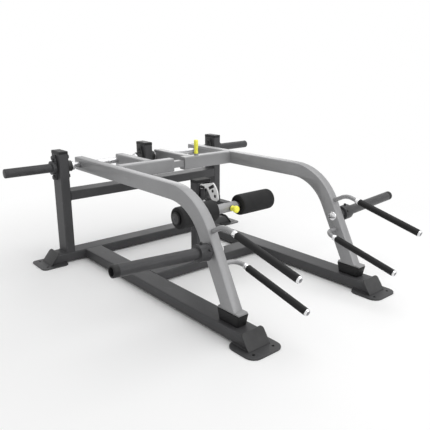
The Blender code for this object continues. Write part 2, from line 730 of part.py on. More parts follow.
def build_bearings():
    """Four two-bolt flanged bearings, two for each pivot shaft."""
    faces = (
        ("left_outer_bearing", -POST_X + TUBE_THIN / 2, 1),
        ("left_inner_bearing", -TUBE_THIN / 2, -1),
        ("right_inner_bearing", TUBE_THIN / 2, 1),
        ("right_outer_bearing", POST_X - TUBE_THIN / 2, -1),
    )
    for name, x, sign in faces:
        along = RIGHT * sign
        face = Vector((x, 0, PIVOT_Z))
        bearing = bolted_flange(name, face, along, ())
        boss_length = BEARING_LENGTH - FLANGE_THICK / 2
        boss_middle = face + along * (GAP + FLANGE_THICK / 2 + boss_length / 2)
        boss = cylinder(name + "_boss", boss_middle, along, BEARING_BOSS_R, boss_length)
        bore = cylinder(name + "_bore", boss_middle, along, SHAFT_R + RUNNING,
                        2 * BEARING_LENGTH, BORE_SIDES)
        join(bearing, boss)
        cut(bearing, bore)


def build_storage_horns():
    """Fixed horns for spare plates, bolted to the outside of the rear posts."""
    bore = HORN_R - HORN_WALL
    root = FLANGE_THICK / 3
    rounding = STORAGE_CAP_ROUND
    profile = [(0, STORAGE_HORN_LENGTH)]
    profile += arc(rounding, pi / 2, 0, ROUNDING_STEPS, (HORN_R - rounding, STORAGE_HORN_LENGTH - rounding))
    profile += [
        (HORN_R, STORAGE_COLLAR_END), (STORAGE_COLLAR_R, STORAGE_COLLAR_END),
        (STORAGE_COLLAR_R, STORAGE_COLLAR_START), (HORN_R, STORAGE_COLLAR_START),
        (HORN_R, root), (bore, root),
        (bore, STORAGE_HORN_LENGTH - STORAGE_CAP_THICK), (0, STORAGE_HORN_LENGTH - STORAGE_CAP_THICK),
    ]
    flange_hole = circle(HORN_R - HORN_WALL / 2)
    for side, sign in SIDES:
        along = RIGHT * sign
        face = Vector((sign * (POST_X + TUBE_THIN / 2), 0, PIVOT_Z))
        horn = bolted_flange(side + "_storage_horn", face, along, (flange_hole,))
        stem = turned(side + "_storage_stem", profile, None, placed(face + along * GAP, along, UP))
        join(horn, stem)


def build_bumpers():
    """Rubber blocks on the side tubes, narrower below, which the arms' feet come down on."""
    loop = rounded_rectangle(BUMPER_WIDE, BUMPER_LONG, BUMPER_CORNER, FOOT_CORNER_STEPS)
    for side, sign in SIDES:
        middle = Vector((sign * ARM_X, LEG_FOOT_Y, BUMPER_BOTTOM + BUMPER_HIGH / 2))
        bumper = as_mesh(outline(side + "_bumper", (loop,), BUMPER_HIGH, RUBBER, placed(middle)))
        for vertex in bumper.data.vertices:
            if vertex.co.z < 0:
                vertex.co.x *= 1 - 2 * BUMPER_DRAFT_WIDE / BUMPER_WIDE
                vertex.co.y *= 1 - 2 * BUMPER_DRAFT_LONG / BUMPER_LONG


def build_arm_rail(side, sign, carrier):
    """The bent box tube of one lever arm, closed behind the pivot and open at its foot."""
    shift = RIGHT * sign * ARM_X
    path = bent_path(RAIL_START, RAIL_CORNER_POINT, LEG_END, RAIL_BEND_R, BEND_STEPS)
    rail = swept(side + "_arm_rail", [shift + point for point in path],
                 RAIL_WIDE, RAIL_HIGH, RAIL_CORNER, SILVER, carrier)
    for vertex in rail.data.vertices:
        past_end = (vertex.co - shift - LEG_END).dot(LEG_ALONG)
        if past_end > -GAP:
            vertex.co += LEG_ALONG * ((LEG_BOTTOM - vertex.co.z) / LEG_ALONG.z)

    start = RAIL_START + FORWARD * RAIL_WALL
    end = LEG_END + LEG_ALONG * RAIL_HIGH
    hollow_path = bent_path(start, RAIL_CORNER_POINT, end, RAIL_BEND_R, BEND_STEPS)
    hollow = swept(side + "_rail_hollow", [shift + point for point in hollow_path],
                   RAIL_WIDE - 2 * RAIL_WALL, RAIL_HIGH - 2 * RAIL_WALL, RAIL_CORNER - RAIL_WALL,
                   None, carrier)
    bore = cylinder(side + "_rail_bore", shift + UP * PIVOT_Z, RIGHT, SHAFT_R + GAP,
                    2 * RAIL_WIDE, BORE_SIDES)
    cut(rail, hollow, bore)

    middle = Vector((sign * ARM_X, LEG_FOOT_Y, LEG_FOOT_BOTTOM + LEG_FOOT_THICK / 2))
    loop = rounded_rectangle(RAIL_WIDE, LEG_FOOT_LENGTH, RAIL_WALL)
    drain = circle(LEG_DRAIN_R, (0, LEG_FOOT_AHEAD), HOLE_SIDES)
    foot = outline(side + "_arm_foot", (loop, drain), LEG_FOOT_THICK, None, placed(middle))
    join(rail, as_mesh(foot))


def build_inner_rail(side, x, carrier):
    """The short rail between the pivot shaft and the cross tube, coped round the shaft."""
    pivot = Vector((x, 0, PIVOT_Z))
    back_end = pivot + BACK * INNER_RAIL_BEHIND
    front_end = Vector((x, -CROSS_TUBE_REACH + CROSS_TUBE_DEEP / 2 + GAP, PIVOT_Z))
    rail = as_mesh(tube(side + "_inner_rail", front_end, back_end, UP, RAIL_WIDE, RAIL_HIGH,
                        SILVER, carrier, RAIL_WALL, RAIL_CORNER))
    cut(rail, cylinder(side + "_cope", pivot, RIGHT, SHAFT_R + GAP, 2 * RAIL_WIDE, BORE_SIDES))


def build_cross_tube(side, sign, carrier):
    """The cross tube, whose free end is closed by a plate with a square hole for the link."""
    rail_end = sign * (ARM_X - RAIL_WIDE / 2 - GAP)
    free_end = sign * CROSS_TUBE_GAP / 2
    middle = Vector(((rail_end + free_end) / 2, LINK_LINE.y, PIVOT_Z))
    length = abs(rail_end - free_end)
    loop = rounded_rectangle(CROSS_TUBE_DEEP, RAIL_HIGH, RAIL_CORNER)
    cross = as_mesh(outline(side + "_cross_tube", (loop,), length, SILVER,
                            placed(middle, RIGHT, UP), carrier))

    hollow_middle = middle + RIGHT * sign * CROSS_TUBE_END_WALL
    loop = rounded_rectangle(CROSS_TUBE_DEEP - 2 * RAIL_WALL, RAIL_HIGH - 2 * RAIL_WALL,
                             RAIL_CORNER - RAIL_WALL)
    hollow = as_mesh(outline(side + "_cross_hollow", (loop,), length, None,
                             placed(hollow_middle, RIGHT, UP)))
    half = LINK_BAR / 2 + SLIDING
    low = Vector((free_end - LINK_BAR, LINK_LINE.y - half, PIVOT_Z - half))
    high = Vector((free_end + LINK_BAR, LINK_LINE.y + half, PIVOT_Z + half))
    cut(cross, hollow, box(side + "_link_socket", low, high))
    if side == "right":
        place = Vector((LINK_PIN_X, LINK_LINE.y, RAIL_TOP))
        embedded = RAIL_WALL / 2
        middle = place + UP * (PIN_HOUSING_LENGTH - embedded) / 2
        join(cross, cylinder("link_pin_housing", middle, UP, PIN_HOUSING_R,
                             PIN_HOUSING_LENGTH + embedded))
        cut(cross, cylinder("link_pin_drill", place, UP, LINK_PIN_R + SLIDING, LINK_BAR, THIN_SIDES))


def build_pivot_shaft(side, sign, carrier):
    """The shaft through both rails of an arm, with set collars beside the bearings."""
    outer = POST_X - TUBE_THIN / 2 - SHAFT_END
    inner = TUBE_THIN / 2 + SHAFT_END
    bearing = GAP + BEARING_LENGTH + SHAFT_COLLAR_PLAY
    outer_collar = POST_X - TUBE_THIN / 2 - bearing
    inner_collar = TUBE_THIN / 2 + bearing
    inner_length = min(SHAFT_COLLAR_LENGTH, inner_rail_start(side) - inner_collar - GAP)
    profile = [
        (0, outer), (SHAFT_R, outer),
        (SHAFT_R, outer_collar), (SHAFT_COLLAR_R, outer_collar),
        (SHAFT_COLLAR_R, outer_collar - SHAFT_COLLAR_LENGTH),
        (SHAFT_R, outer_collar - SHAFT_COLLAR_LENGTH),
        (SHAFT_R, inner_collar + inner_length), (SHAFT_COLLAR_R, inner_collar + inner_length),
        (SHAFT_COLLAR_R, inner_collar), (SHAFT_R, inner_collar),
        (SHAFT_R, inner), (0, inner),
    ]
    turned(side + "_pivot_shaft", profile, ZINC, placed(UP * PIVOT_Z, RIGHT * sign, UP),
           carrier, BORE_SIDES)


def inner_rail_start(side):
    """How far from the middle an arm's inner rail begins."""
    x = LEFT_INNER_RAIL_X if side == "left" else RIGHT_INNER_RAIL_X
    return abs(x) - RAIL_WIDE / 2


def build_load_horn(side, sign, carrier):
    """A plate horn on the leg's outer side, tilted up a little, with its stop flange."""
    bore = HORN_R - HORN_WALL
    flange_end = LOAD_FLANGE_START + LOAD_FLANGE_THICK
    profile = [
        (bore, 0), (bore, LOAD_HORN_LENGTH), (HORN_R, LOAD_HORN_LENGTH),
        (HORN_R, flange_end), (LOAD_FLANGE_R, flange_end),
        (LOAD_FLANGE_R, LOAD_FLANGE_START), (HORN_R, LOAD_FLANGE_START), (HORN_R, 0),
    ]
    tilt = LOAD_HORN_TILT
    along = Vector((sign * cos(tilt), 0, sin(tilt)))
    centre = BEND_END + LEG_ALONG * LOAD_HORN_DOWN + LEG_FRONT * LOAD_HORN_AHEAD
    root = centre + RIGHT * sign * (ARM_X + RAIL_WIDE / 2 + GAP)
    horn = as_mesh(turned(side + "_load_horn", profile, CHARCOAL, placed(root, along, BACK),
                          carrier, ring=True))
    for vertex in horn.data.vertices:
        if vertex.co.z < LOAD_FLANGE_START / 2:
            vertex.co.z = -sign * vertex.co.x * tan(tilt)

    plug_r = bore - GAP
    recess_floor = LOAD_CAP_LENGTH - LOAD_CAP_RECESS
    rounding = min(LOAD_CAP_ROUND, (HORN_R - LOAD_CAP_RECESS_R) / 2)
    cap = [(0, recess_floor), (LOAD_CAP_RECESS_R, recess_floor),
           (LOAD_CAP_RECESS_R, LOAD_CAP_LENGTH - rounding / 2),
           (LOAD_CAP_RECESS_R + rounding / 2, LOAD_CAP_LENGTH)]
    cap += arc(rounding, pi / 2, 0, ROUNDING_STEPS, (HORN_R - rounding, LOAD_CAP_LENGTH - rounding))
    cap += [(HORN_R, GAP), (plug_r, GAP), (plug_r, -HORN_PLUG), (0, -HORN_PLUG)]
    turned(side + "_horn_end_cap", cap, PLASTIC,
           placed(root + along * LOAD_HORN_LENGTH, along, BACK), carrier)


def build_handle(name, start, corner, radius, collar_start, carrier):
    """A bent rod with its collar and end cap, and the rubber grip between these two."""
    straight = placed(corner, HANDLE_ALONG, RIGHT)
    grip_start = collar_start + COLLAR_LENGTH + GAP
    grip_end = grip_start + GRIP_LENGTH
    cap_start = grip_end + GAP
    cap_end = cap_start + HANDLE_CAP_LENGTH

    rod_end = corner + HANDLE_ALONG * (cap_start + HANDLE_CAP_LENGTH / 2)
    curve = path_curve(name, bent_path(start, corner, rod_end, radius, BEND_STEPS // 2))
    curve.bevel_depth = ROD_R
    curve.bevel_resolution = ROD_RESOLUTION
    rod = as_mesh(add(name + "_handle", curve, SILVER, Matrix.Identity(4), carrier))

    collar_end = collar_start + COLLAR_LENGTH
    collar = [(0, collar_end), (COLLAR_R - COLLAR_ROUND, collar_end),
              (COLLAR_R, collar_end - COLLAR_ROUND), (COLLAR_R, collar_start + COLLAR_ROUND),
              (COLLAR_R - COLLAR_ROUND, collar_start), (0, collar_start)]
    cap = [(0, cap_end)]
    cap += arc(GRIP_ROUND, pi / 2, 0, ROUNDING_STEPS, (HANDLE_CAP_R - GRIP_ROUND, cap_end - GRIP_ROUND))
    cap += [(HANDLE_CAP_R, cap_start), (0, cap_start)]
    join(rod, turned(name + "_collar", collar, None, straight, sides=THIN_SIDES),
         turned(name + "_cap", cap, None, straight, sides=THIN_SIDES))

    grip = ring_profile(ROD_R + GAP, GRIP_R, grip_start, grip_end, GRIP_ROUND)
    turned(name + "_grip", grip, RUBBER, straight, carrier, THIN_SIDES, True)


def build_handles(side, sign, carrier):
    """The upper handle on the leg's front and the lower one on its inner side."""
    shift = RIGHT * sign * ARM_X
    build_handle(side + "_upper", shift + UPPER_HANDLE_ROOT, shift + UPPER_HANDLE_CORNER,
                 UPPER_HANDLE_BEND_R, UPPER_COLLAR_START, carrier)
    face_x = ARM_X - RAIL_WIDE / 2
    root = LOWER_HANDLE_LEVEL + RIGHT * sign * (face_x - GAP)
    corner = LOWER_HANDLE_LEVEL + RIGHT * sign * (face_x - LOWER_HANDLE_INSET)
    build_handle(side + "_lower", root, corner, LOWER_HANDLE_BEND_R, LOWER_COLLAR_START, carrier)


def build_arms():
    inner_x = {"left": LEFT_INNER_RAIL_X, "right": RIGHT_INNER_RAIL_X}
    for side, sign in SIDES:
        carrier = arm_bodies[side]
        build_arm_rail(side, sign, carrier)
        build_inner_rail(side, inner_x[side], carrier)
        build_cross_tube(side, sign, carrier)
        build_pivot_shaft(side, sign, carrier)
        build_handles(side, sign, carrier)
        build_load_horn(side, sign, carrier)


def build_link():
    """The square bar in the right cross tube, its pull pin and the pin's housing."""
    half = LINK_BAR / 2
    centre = LINK_LINE
    tip = LINK_TIP_X
    end = tip + LINK_BAR_LENGTH
    bar = box("link_bar", (tip, centre.y - half, centre.z - half),
              (end, centre.y + half, centre.z + half), SILVER, link_slide)
    guide_deep = CROSS_TUBE_DEEP - 2 * (RAIL_WALL + SLIDING)
    guide_high = RAIL_HIGH - 2 * (RAIL_WALL + SLIDING)
    guide_middle = Vector((end - LINK_GUIDE_LENGTH / 2 + GAP, *centre.yz))
    loop = rounded_rectangle(guide_deep, guide_high, RAIL_CORNER - RAIL_WALL)
    guide = as_mesh(outline("link_guide", (loop,), LINK_GUIDE_LENGTH, None,
                            placed(guide_middle, RIGHT, UP)))
    inner = half - LINK_BAR_WALL
    hollow = box("link_hollow", (tip + LINK_BAR_WALL, centre.y - inner, centre.z - inner),
                 (end + LINK_BAR, centre.y + inner, centre.z + inner))
    slot_half = LINK_PIN_R + SLIDING
    slot = box("link_slot", (LINK_PIN_X - LINK_TRAVEL - slot_half, centre.y - slot_half, centre.z),
               (LINK_PIN_X + slot_half, centre.y + slot_half, centre.z + LINK_BAR))
    join(bar, guide)
    cut(bar, hollow, slot)

    knob_bottom = RAIL_TOP + PIN_HOUSING_LENGTH + GAP
    knob_top = knob_bottom + LINK_KNOB_LENGTH
    tip_z = PIVOT_Z + half - LINK_PIN_DEPTH
    rounding = LINK_KNOB_ROUND
    profile = [(0, knob_top)]
    profile += arc(rounding, pi / 2, 0, ROUNDING_STEPS, (LINK_KNOB_R - rounding, knob_top - rounding))
    profile += [(LINK_KNOB_R, knob_bottom), (LINK_PIN_R, knob_bottom), (LINK_PIN_R, tip_z), (0, tip_z)]
    place = placed(Vector((LINK_PIN_X, centre.y, 0)))
    turned("link_pin", profile, YELLOW, place, link_pull)


def side_plate(name, loops, thickness, x, look, carrier=None):
    """A plate in the YZ plane, drawn about the roller arm's pivot: local X back, local Y up."""
    place = placed(Vector((x, *ROLLER_PIVOT.yz)), RIGHT, UP)
    return outline(name, loops, thickness, look, place, carrier)


def build_roller_bracket():
    """The welded clevis on the roller post: a back plate and two ears, the left one taller."""
    back = BRACKET_REACH - GAP
    front = back - BRACKET_PLATE
    top = EYE_UP + EYE_R
    low = Vector((-BRACKET_WIDE / 2, ROLLER_PIVOT.y + front, ROLLER_Z - BRACKET_BELOW))
    high = Vector((BRACKET_WIDE / 2, ROLLER_PIVOT.y + back, ROLLER_Z + top - GAP))
    bracket = box("roller_bracket", low, high, CHARCOAL)

    rear = front + BRACKET_PLATE / 2
    hole = circle(PIVOT_BOLT_R + SLIDING)
    short = [(rear, -EAR_R), (rear, EAR_R)] + arc(EAR_R, pi / 2, 3 * pi / 2, EAR_STEPS)
    x = (ROLLER_ARM_WIDE + EAR_THICK) / 2 + GAP
    right_ear = as_mesh(side_plate("right_ear", (short, hole), EAR_THICK, x, None))

    eye = (EYE_BACK, EYE_UP)
    tall = [(rear, -EAR_R), (rear, top - 2 * GAP)]
    tall += arc(EYE_R - 2 * GAP, pi / 2, pi, EYE_STEPS, eye)
    tall += arc(EAR_R, acos((EYE_BACK - EYE_R) / EAR_R), 3 * pi / 2, EAR_STEPS)
    eye_hole = circle(EYE_HOLE_R, eye, HOLE_SIDES)
    left_ear = as_mesh(side_plate("left_ear", (tall, hole, eye_hole), EAR_THICK, LEFT_EAR_X, None))
    join(bracket, right_ear, left_ear)


def polar(radius, angle):
    """A point of the selector plate: the angle rises from straight forward."""
    return (-radius * cos(angle), radius * sin(angle))


def build_selector_plate():
    """The pale sector plate with two round holes and a slot, bolted to the left ear."""
    eye = (EYE_BACK, EYE_UP)
    outer_arc = arc(SELECTOR_OUTER_R, pi - SELECTOR_OUTER_START, pi - SELECTOR_OUTER_END,
                    OUTER_EDGE_STEPS, SELECTOR_OUTER_CENTRE)
    eye_arc = arc(EYE_R, SELECTOR_EYE_START, SELECTOR_EYE_END, EYE_STEPS, eye)
    inner_arc = arc(SELECTOR_INNER_R, pi - SELECTOR_INNER_END, pi - SELECTOR_INNER_START,
                    INNER_EDGE_STEPS, SELECTOR_INNER_CENTRE)
    loop = outer_arc + [SELECTOR_TOP] + eye_arc + inner_arc + list(SELECTOR_BOTTOM)
    centres = [polar(SELECTOR_HOLE_RING, angle) for angle in SELECTOR_HOLES]
    holes = [circle(SELECTOR_HOLE_R, centre, HOLE_SIDES) for centre in centres]
    middle = Vector(polar(SLOT_RING, SLOT_ANGLE))
    long_way = Vector((-cos(SLOT_TILT), sin(SLOT_TILT))) * SLOT_LONG / 2
    short_way = Vector((sin(SLOT_TILT), cos(SLOT_TILT))) * SLOT_WIDE / 2
    corners = ((-1, -1), (1, -1), (1, 1), (-1, 1))
    slot = [tuple(middle + long_way * end + short_way * edge) for end, edge in corners]
    eye_hole = circle(EYE_HOLE_R, eye, HOLE_SIDES)
    side_plate("selector_plate", [loop, *holes, slot, eye_hole], SELECTOR_THICK, SELECTOR_X, WHITE)


def build_roller_arm():
    """The short square tube that swings on the bracket, with the ear beside the plate."""
    rear = ROLLER_PIVOT + BACK * ROLLER_ARM_BEHIND
    arm = as_mesh(tube("roller_arm", rear, ROLLER_AXIS, UP, ROLLER_ARM_WIDE, ROLLER_ARM_HIGH,
                       CHARCOAL, roller_body, TUBE_WALL, ROLLER_ARM_CORNER))
    cut(arm, cylinder("roller_pivot_drill", ROLLER_PIVOT, RIGHT, PIVOT_BOLT_R + SLIDING,
                      2 * ROLLER_ARM_WIDE, BORE_SIDES),
        cylinder("sleeve_cope", ROLLER_AXIS, RIGHT, SLEEVE_R + GAP, 2 * ROLLER_ARM_WIDE, BORE_SIDES))
    hole = polar(SELECTOR_HOLE_RING, SELECTOR_HOLES[0])
    foot = ROLLER_ARM_HIGH / 2 - TUBE_WALL
    half = SELECTOR_EAR_HALF
    loop = [(hole[0] - half, foot), (hole[0] + half, foot)] + arc(half, 0, pi, BEND_STEPS, hole)
    x = -(ROLLER_ARM_WIDE - EAR_THICK) / 2
    ear = side_plate("roller_arm_ear", (loop, circle(SELECTOR_HOLE_R, hole, HOLE_SIDES)), EAR_THICK, x, None)
    join(arm, as_mesh(ear))

    left_x = LEFT_EAR_X - EAR_THICK / 2
    right_x = ROLLER_ARM_WIDE / 2 + GAP + EAR_THICK
    start = Vector((left_x, *ROLLER_PIVOT.yz))
    hex_bolt("roller_pivot_bolt", start, RIGHT, right_x - left_x,
             PIVOT_BOLT_R, PIVOT_BOLT_HEAD_R, BOLT_HEAD_THICK)


def build_rollers():
    """The cross sleeve, its shaft, and a foam roller on a plastic core at each side."""
    drill = cylinder("knob_rod_drill", ROLLER_AXIS, BACK, KNOB_ROD_R + SLIDING, 4 * SLEEVE_R)
    across = placed(ROLLER_AXIS + RIGHT * (SLEEVE_RIGHT - SLEEVE_LEFT) / 2, RIGHT, UP)
    loops = (circle(SLEEVE_R, sides=BORE_SIDES), circle(ROLLER_SHAFT_R + GAP))
    length = SLEEVE_LEFT + SLEEVE_RIGHT
    sleeve = as_mesh(outline("roller_sleeve", loops, length, SILVER, across, roller_body))
    cut(sleeve, drill)

    ends = {"left": (SLEEVE_LEFT, LEFT_SPACER), "right": (SLEEVE_RIGHT, RIGHT_SPACER)}
    profile = []
    for side, sign in SIDES[::-1]:
        sleeve_end, spacer = ends[side]
        spacer_start = sleeve_end + GAP
        spacer_end = spacer_start + spacer
        foam_start = spacer_end + ROLLER_PLAY
        foam_end = foam_start + ROLLER_LENGTH
        head_start = foam_end + ROLLER_PLAY
        head_end = head_start + ROLLER_HEAD_THICK
        half = [
            (0, head_end), (ROLLER_HEAD_R, head_end), (ROLLER_HEAD_R, head_start),
            (ROLLER_SHAFT_R, head_start), (ROLLER_SHAFT_R, spacer_end), (ROLLER_SPACER_R, spacer_end),
            (ROLLER_SPACER_R, spacer_start), (ROLLER_SHAFT_R, spacer_start),
        ]
        profile += half if sign > 0 else [(radius, -height) for radius, height in reversed(half)]
        foam = ring_profile(ROLLER_SHAFT_R + RUNNING, ROLLER_FOAM_R, foam_start, foam_end, ROLLER_FOAM_ROUND)
        turned(side + "_roller", foam, FOAM, placed(ROLLER_AXIS, RIGHT * sign, UP),
               roller_spins[side], ROUND_SIDES, True)
    shaft = turned("roller_shaft", profile, ZINC, placed(ROLLER_AXIS, RIGHT, UP), roller_body)
    cut(shaft, drill)


def build_roller_knob():
    """The pull knob on the sleeve, whose rod runs back inside the arm to its pivot."""
    seat = SLEEVE_R + GAP
    head = seat + KNOB_NECK
    end = head + KNOB_LENGTH
    rod_end = -ROLLER_REACH + PIVOT_BOLT_R + KNOB_ROD_CLEAR
    profile = [(0, end)]
    profile += arc(KNOB_ROUND, pi / 2, 0, ROUNDING_STEPS, (KNOB_R - KNOB_ROUND, end - KNOB_ROUND))
    profile += [(KNOB_R, head + KNOB_ROUND / 2), (KNOB_R - KNOB_ROUND / 2, head), (KNOB_NECK_R, head),
                (KNOB_NECK_R, seat), (KNOB_ROD_R, seat), (KNOB_ROD_R, rod_end), (0, rod_end)]
    turned("roller_knob", profile, YELLOW, placed(ROLLER_AXIS, FORWARD, UP), knob_pull)


build_floor_frame()
build_posts()
build_feet()
build_tube_caps()
build_bearings()
build_storage_horns()
build_bumpers()
build_arms()
build_link()
build_roller_bracket()
build_selector_plate()
build_roller_arm()
build_rollers()
build_roller_knob()
bpy.context.view_layer.update()
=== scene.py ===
from math import cos, radians, sin, tan

import bpy
from mathutils import Matrix, Vector


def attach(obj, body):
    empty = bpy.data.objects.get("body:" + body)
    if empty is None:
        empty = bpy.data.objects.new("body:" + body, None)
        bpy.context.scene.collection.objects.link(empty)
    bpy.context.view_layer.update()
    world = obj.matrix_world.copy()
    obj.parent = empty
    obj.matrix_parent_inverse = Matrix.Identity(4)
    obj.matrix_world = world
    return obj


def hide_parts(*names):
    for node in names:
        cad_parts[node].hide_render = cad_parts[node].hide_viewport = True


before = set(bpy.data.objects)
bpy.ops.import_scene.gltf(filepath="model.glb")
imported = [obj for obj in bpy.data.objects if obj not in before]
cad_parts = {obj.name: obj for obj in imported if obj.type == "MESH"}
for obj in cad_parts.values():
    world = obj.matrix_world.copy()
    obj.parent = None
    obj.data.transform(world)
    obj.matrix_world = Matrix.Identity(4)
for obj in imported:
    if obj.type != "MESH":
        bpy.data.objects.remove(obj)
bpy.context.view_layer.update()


# Studio. A white floor that runs on into a white surround, soft light from above
# and from the front, a low light behind on the right that skims the arms, and the
# camera at the photograph's place, all of them outside the machine.
class Wire:
    """A value in a shader: Python's operators on it add the Math nodes."""

    def __init__(self, socket):
        self.socket = socket

    def node(self, kind, settings, sockets, output=0):
        """Any other node: its settings first, then a value or a link for each socket."""
        new = self.socket.id_data.nodes.new("ShaderNode" + kind)
        for name, value in settings.items():
            setattr(new, name, value)
        for name, value in sockets.items():
            if isinstance(value, Wire):
                self.socket.id_data.links.new(value.socket, new.inputs[name])
            else:
                new.inputs[name].default_value = value
        return Wire(new.outputs[output])

    def maths(self, operation, first, second):
        return self.node("Math", {"operation": operation}, {0: first, 1: second})

    def __add__(self, other):
        return self.maths("ADD", self, other)

    def __mul__(self, other):
        return self.maths("MULTIPLY", self, other)

    def __sub__(self, other):
        return self.maths("SUBTRACT", self, other)

    def __rsub__(self, other):
        return self.maths("SUBTRACT", other, self)

    __radd__ = __add__
    __rmul__ = __mul__

    def mask(self, low, high):
        """0 up to the low value, 1 from the high one, and a straight climb between them."""
        return self.node("MapRange", {}, {"Value": self, "From Min": low, "From Max": high})

    def tint(self, first, second):
        """The first colour where this value is 0 and the second where it is 1."""
        return self.node("Mix", {"data_type": "RGBA"}, {0: self, 6: (*first, 1), 7: (*second, 1)}, 2)

    def scaled(self, x, y, z):
        """This place with its three directions stretched for a pattern."""
        return self.node("Mapping", {}, {"Vector": self, "Scale": (x, y, z)})

    def grain(self, scale, detail):
        """Fine or coarse noise over this place."""
        return self.node("TexNoise", {}, {"Vector": self, "Scale": scale, "Detail": detail})

    def into(self, shader, name):
        self.socket.id_data.links.new(self.socket, shader.inputs[name])

    def bump(self, shader, depth):
        """Raises the surface by this value times the depth, in metres."""
        self.node("Bump", {}, {"Height": self, "Distance": depth}).into(shader, "Normal")


def new_material(name, metallic, roughness, specular=0.5):
    """A material with its shader, and the place on the piece where its patterns run."""
    material = bpy.data.materials.new(name)
    material.use_nodes = True
    shader = material.node_tree.nodes["Principled BSDF"]
    shader.inputs["Metallic"].default_value = metallic
    shader.inputs["Roughness"].default_value = roughness
    shader.inputs["Specular IOR Level"].default_value = specular
    place = Wire(material.node_tree.nodes.new("ShaderNodeTexCoord").outputs["Object"])
    return material, shader, place


def seen_rays(wire):
    """1 for what the camera sees, itself or in metal or glass, and 0 for all other light."""
    seen = wire.node("LightPath", {}, {})
    rays = seen.socket.node.outputs
    for ray in ("Is Glossy Ray", "Is Transmission Ray"):
        seen = seen.maths("MAXIMUM", seen, Wire(rays[ray]))
    return seen


WHITE = (1, 1, 1, 1)
FLOOR_WHITE = (0.96, 0.96, 0.96, 1)
FLOOR_SIZE = 60
FLOOR_Z = -0.0004
FADE_START = 0.7
FADE_END = 2.4
SURROUND_LIGHT = 0.60

bpy.ops.object.select_all(action="DESELECT")
bpy.ops.mesh.primitive_plane_add(size=FLOOR_SIZE, location=(0, 0, FLOOR_Z))
floor = bpy.context.object
floor.name = "studio_floor"
floor_paint, floor_shader, floor_place = new_material("studio_floor", metallic=0, roughness=0.9,
                                                      specular=0)
floor_shader.inputs["Base Color"].default_value = FLOOR_WHITE
away = floor_place.node("VectorMath", {"operation": "LENGTH"}, {0: floor_place}, 1)
away = away.mask(FADE_START, FADE_END)
away = away * away * (3 - 2 * away) * seen_rays(floor_place)
glow = floor_place.node("Emission", {}, {"Color": WHITE, "Strength": 1})
blend = floor_place.node("MixShader", {}, {0: away, 1: Wire(floor_shader.outputs[0]), 2: glow})
blend.into(floor_paint.node_tree.nodes["Material Output"], "Surface")
floor.data.materials.append(floor_paint)

world = bpy.data.worlds.new("studio")
world.use_nodes = True
bpy.context.scene.world = world
surround = world.node_tree.nodes["Background"]
surround.inputs["Color"].default_value = WHITE
seen = seen_rays(Wire(surround.outputs[0]))
(SURROUND_LIGHT + (1 - SURROUND_LIGHT) * seen).into(surround, "Strength")

# Each lamp's name, its place, the point that it faces, its width and its watts.
LAMPS = (
    ("above", (0.8, -0.2, 3.4), (0, 0.1, 0), 3.0, 44),
    ("front", (0.9, -3.6, 2.2), (0, 0, 0.3), 2.6, 50),
    ("behind", (2.6, 3.4, 1.9), (-0.2, 0.2, 0.4), 2.2, 24),
)
for name, at, target, size, watts in LAMPS:
    lamp_data = bpy.data.lights.new("lamp_" + name, "AREA")
    lamp_data.size = size
    lamp_data.energy = watts
    lamp = bpy.data.objects.new("lamp_" + name, lamp_data)
    bpy.context.scene.collection.objects.link(lamp)
    lamp.location = at
    lamp.rotation_euler = (Vector(target) - Vector(at)).to_track_quat("-Z", "Y").to_euler()

CAMERA_PLACE = (-1.6474, -1.8575, 1.0268)
CAMERA_TILT = radians(74.125)
CAMERA_TURN = radians(-40.245)
CAMERA_LENS = 43.25
camera_data = bpy.data.cameras.new("camera")
camera_data.lens = CAMERA_LENS
camera = bpy.data.objects.new("camera", camera_data)
bpy.context.scene.collection.objects.link(camera)
camera.location = CAMERA_PLACE
camera.rotation_euler = (CAMERA_TILT, 0, CAMERA_TURN)
bpy.context.scene.camera = camera
bpy.context.scene.view_settings.view_transform = "Standard"


# Floor frame: rectangular steel tubes and upright posts, welded up in one piece
# and powder coated in charcoal with a fine metallic flake. The coat has a faint
# orange peel, and the tops that people step over are rubbed a little lighter.
COAT_SPECULAR = 0.35
FLAKE_SCALE = 900
PEEL_SCALE = 420
PEEL_DEPTH = 0.00006


def powder_coat(name, dark, light, metallic, roughness):
    """Flake and slow clouds in the colour, and a fine orange peel in the surface."""
    material, shader, place = new_material(name, metallic, roughness, COAT_SPECULAR)
    clouds = place.grain(7, 3).mask(0.3, 0.7)
    flake = place.grain(FLAKE_SCALE, 1).mask(0.35, 0.65)
    rubbed = place.scaled(1, 0.25, 1).grain(38, 4).mask(0.60, 0.82)
    shade = (0.30 * clouds + 0.35 * flake + 0.25 * rubbed).mask(0, 0.9)
    shade.tint(dark, light).into(shader, "Base Color")
    (roughness - 0.06 + 0.10 * clouds - 0.08 * rubbed).into(shader, "Roughness")
    (place.grain(PEEL_SCALE, 2) + 0.5 * place.grain(1500, 1)).bump(shader, PEEL_DEPTH)
    return material


def dress(material, *nodes):
    """Gives these CAD nodes a finish."""
    for node in nodes:
        for material_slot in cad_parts[node].material_slots:
            material_slot.material = material


# The coat's dark and light colours and its share of metal.
CHARCOAL = (0.044, 0.044, 0.046), (0.086, 0.086, 0.089), 0.12
charcoal = powder_coat("charcoal_powder_coat", *CHARCOAL, roughness=0.54)
dress(charcoal, "rear_base_beam", "left_side_tube", "right_side_tube", "middle_base_beam",
      "upper_rear_beam", "left_rear_post", "right_rear_post", "centre_post", "roller_post")


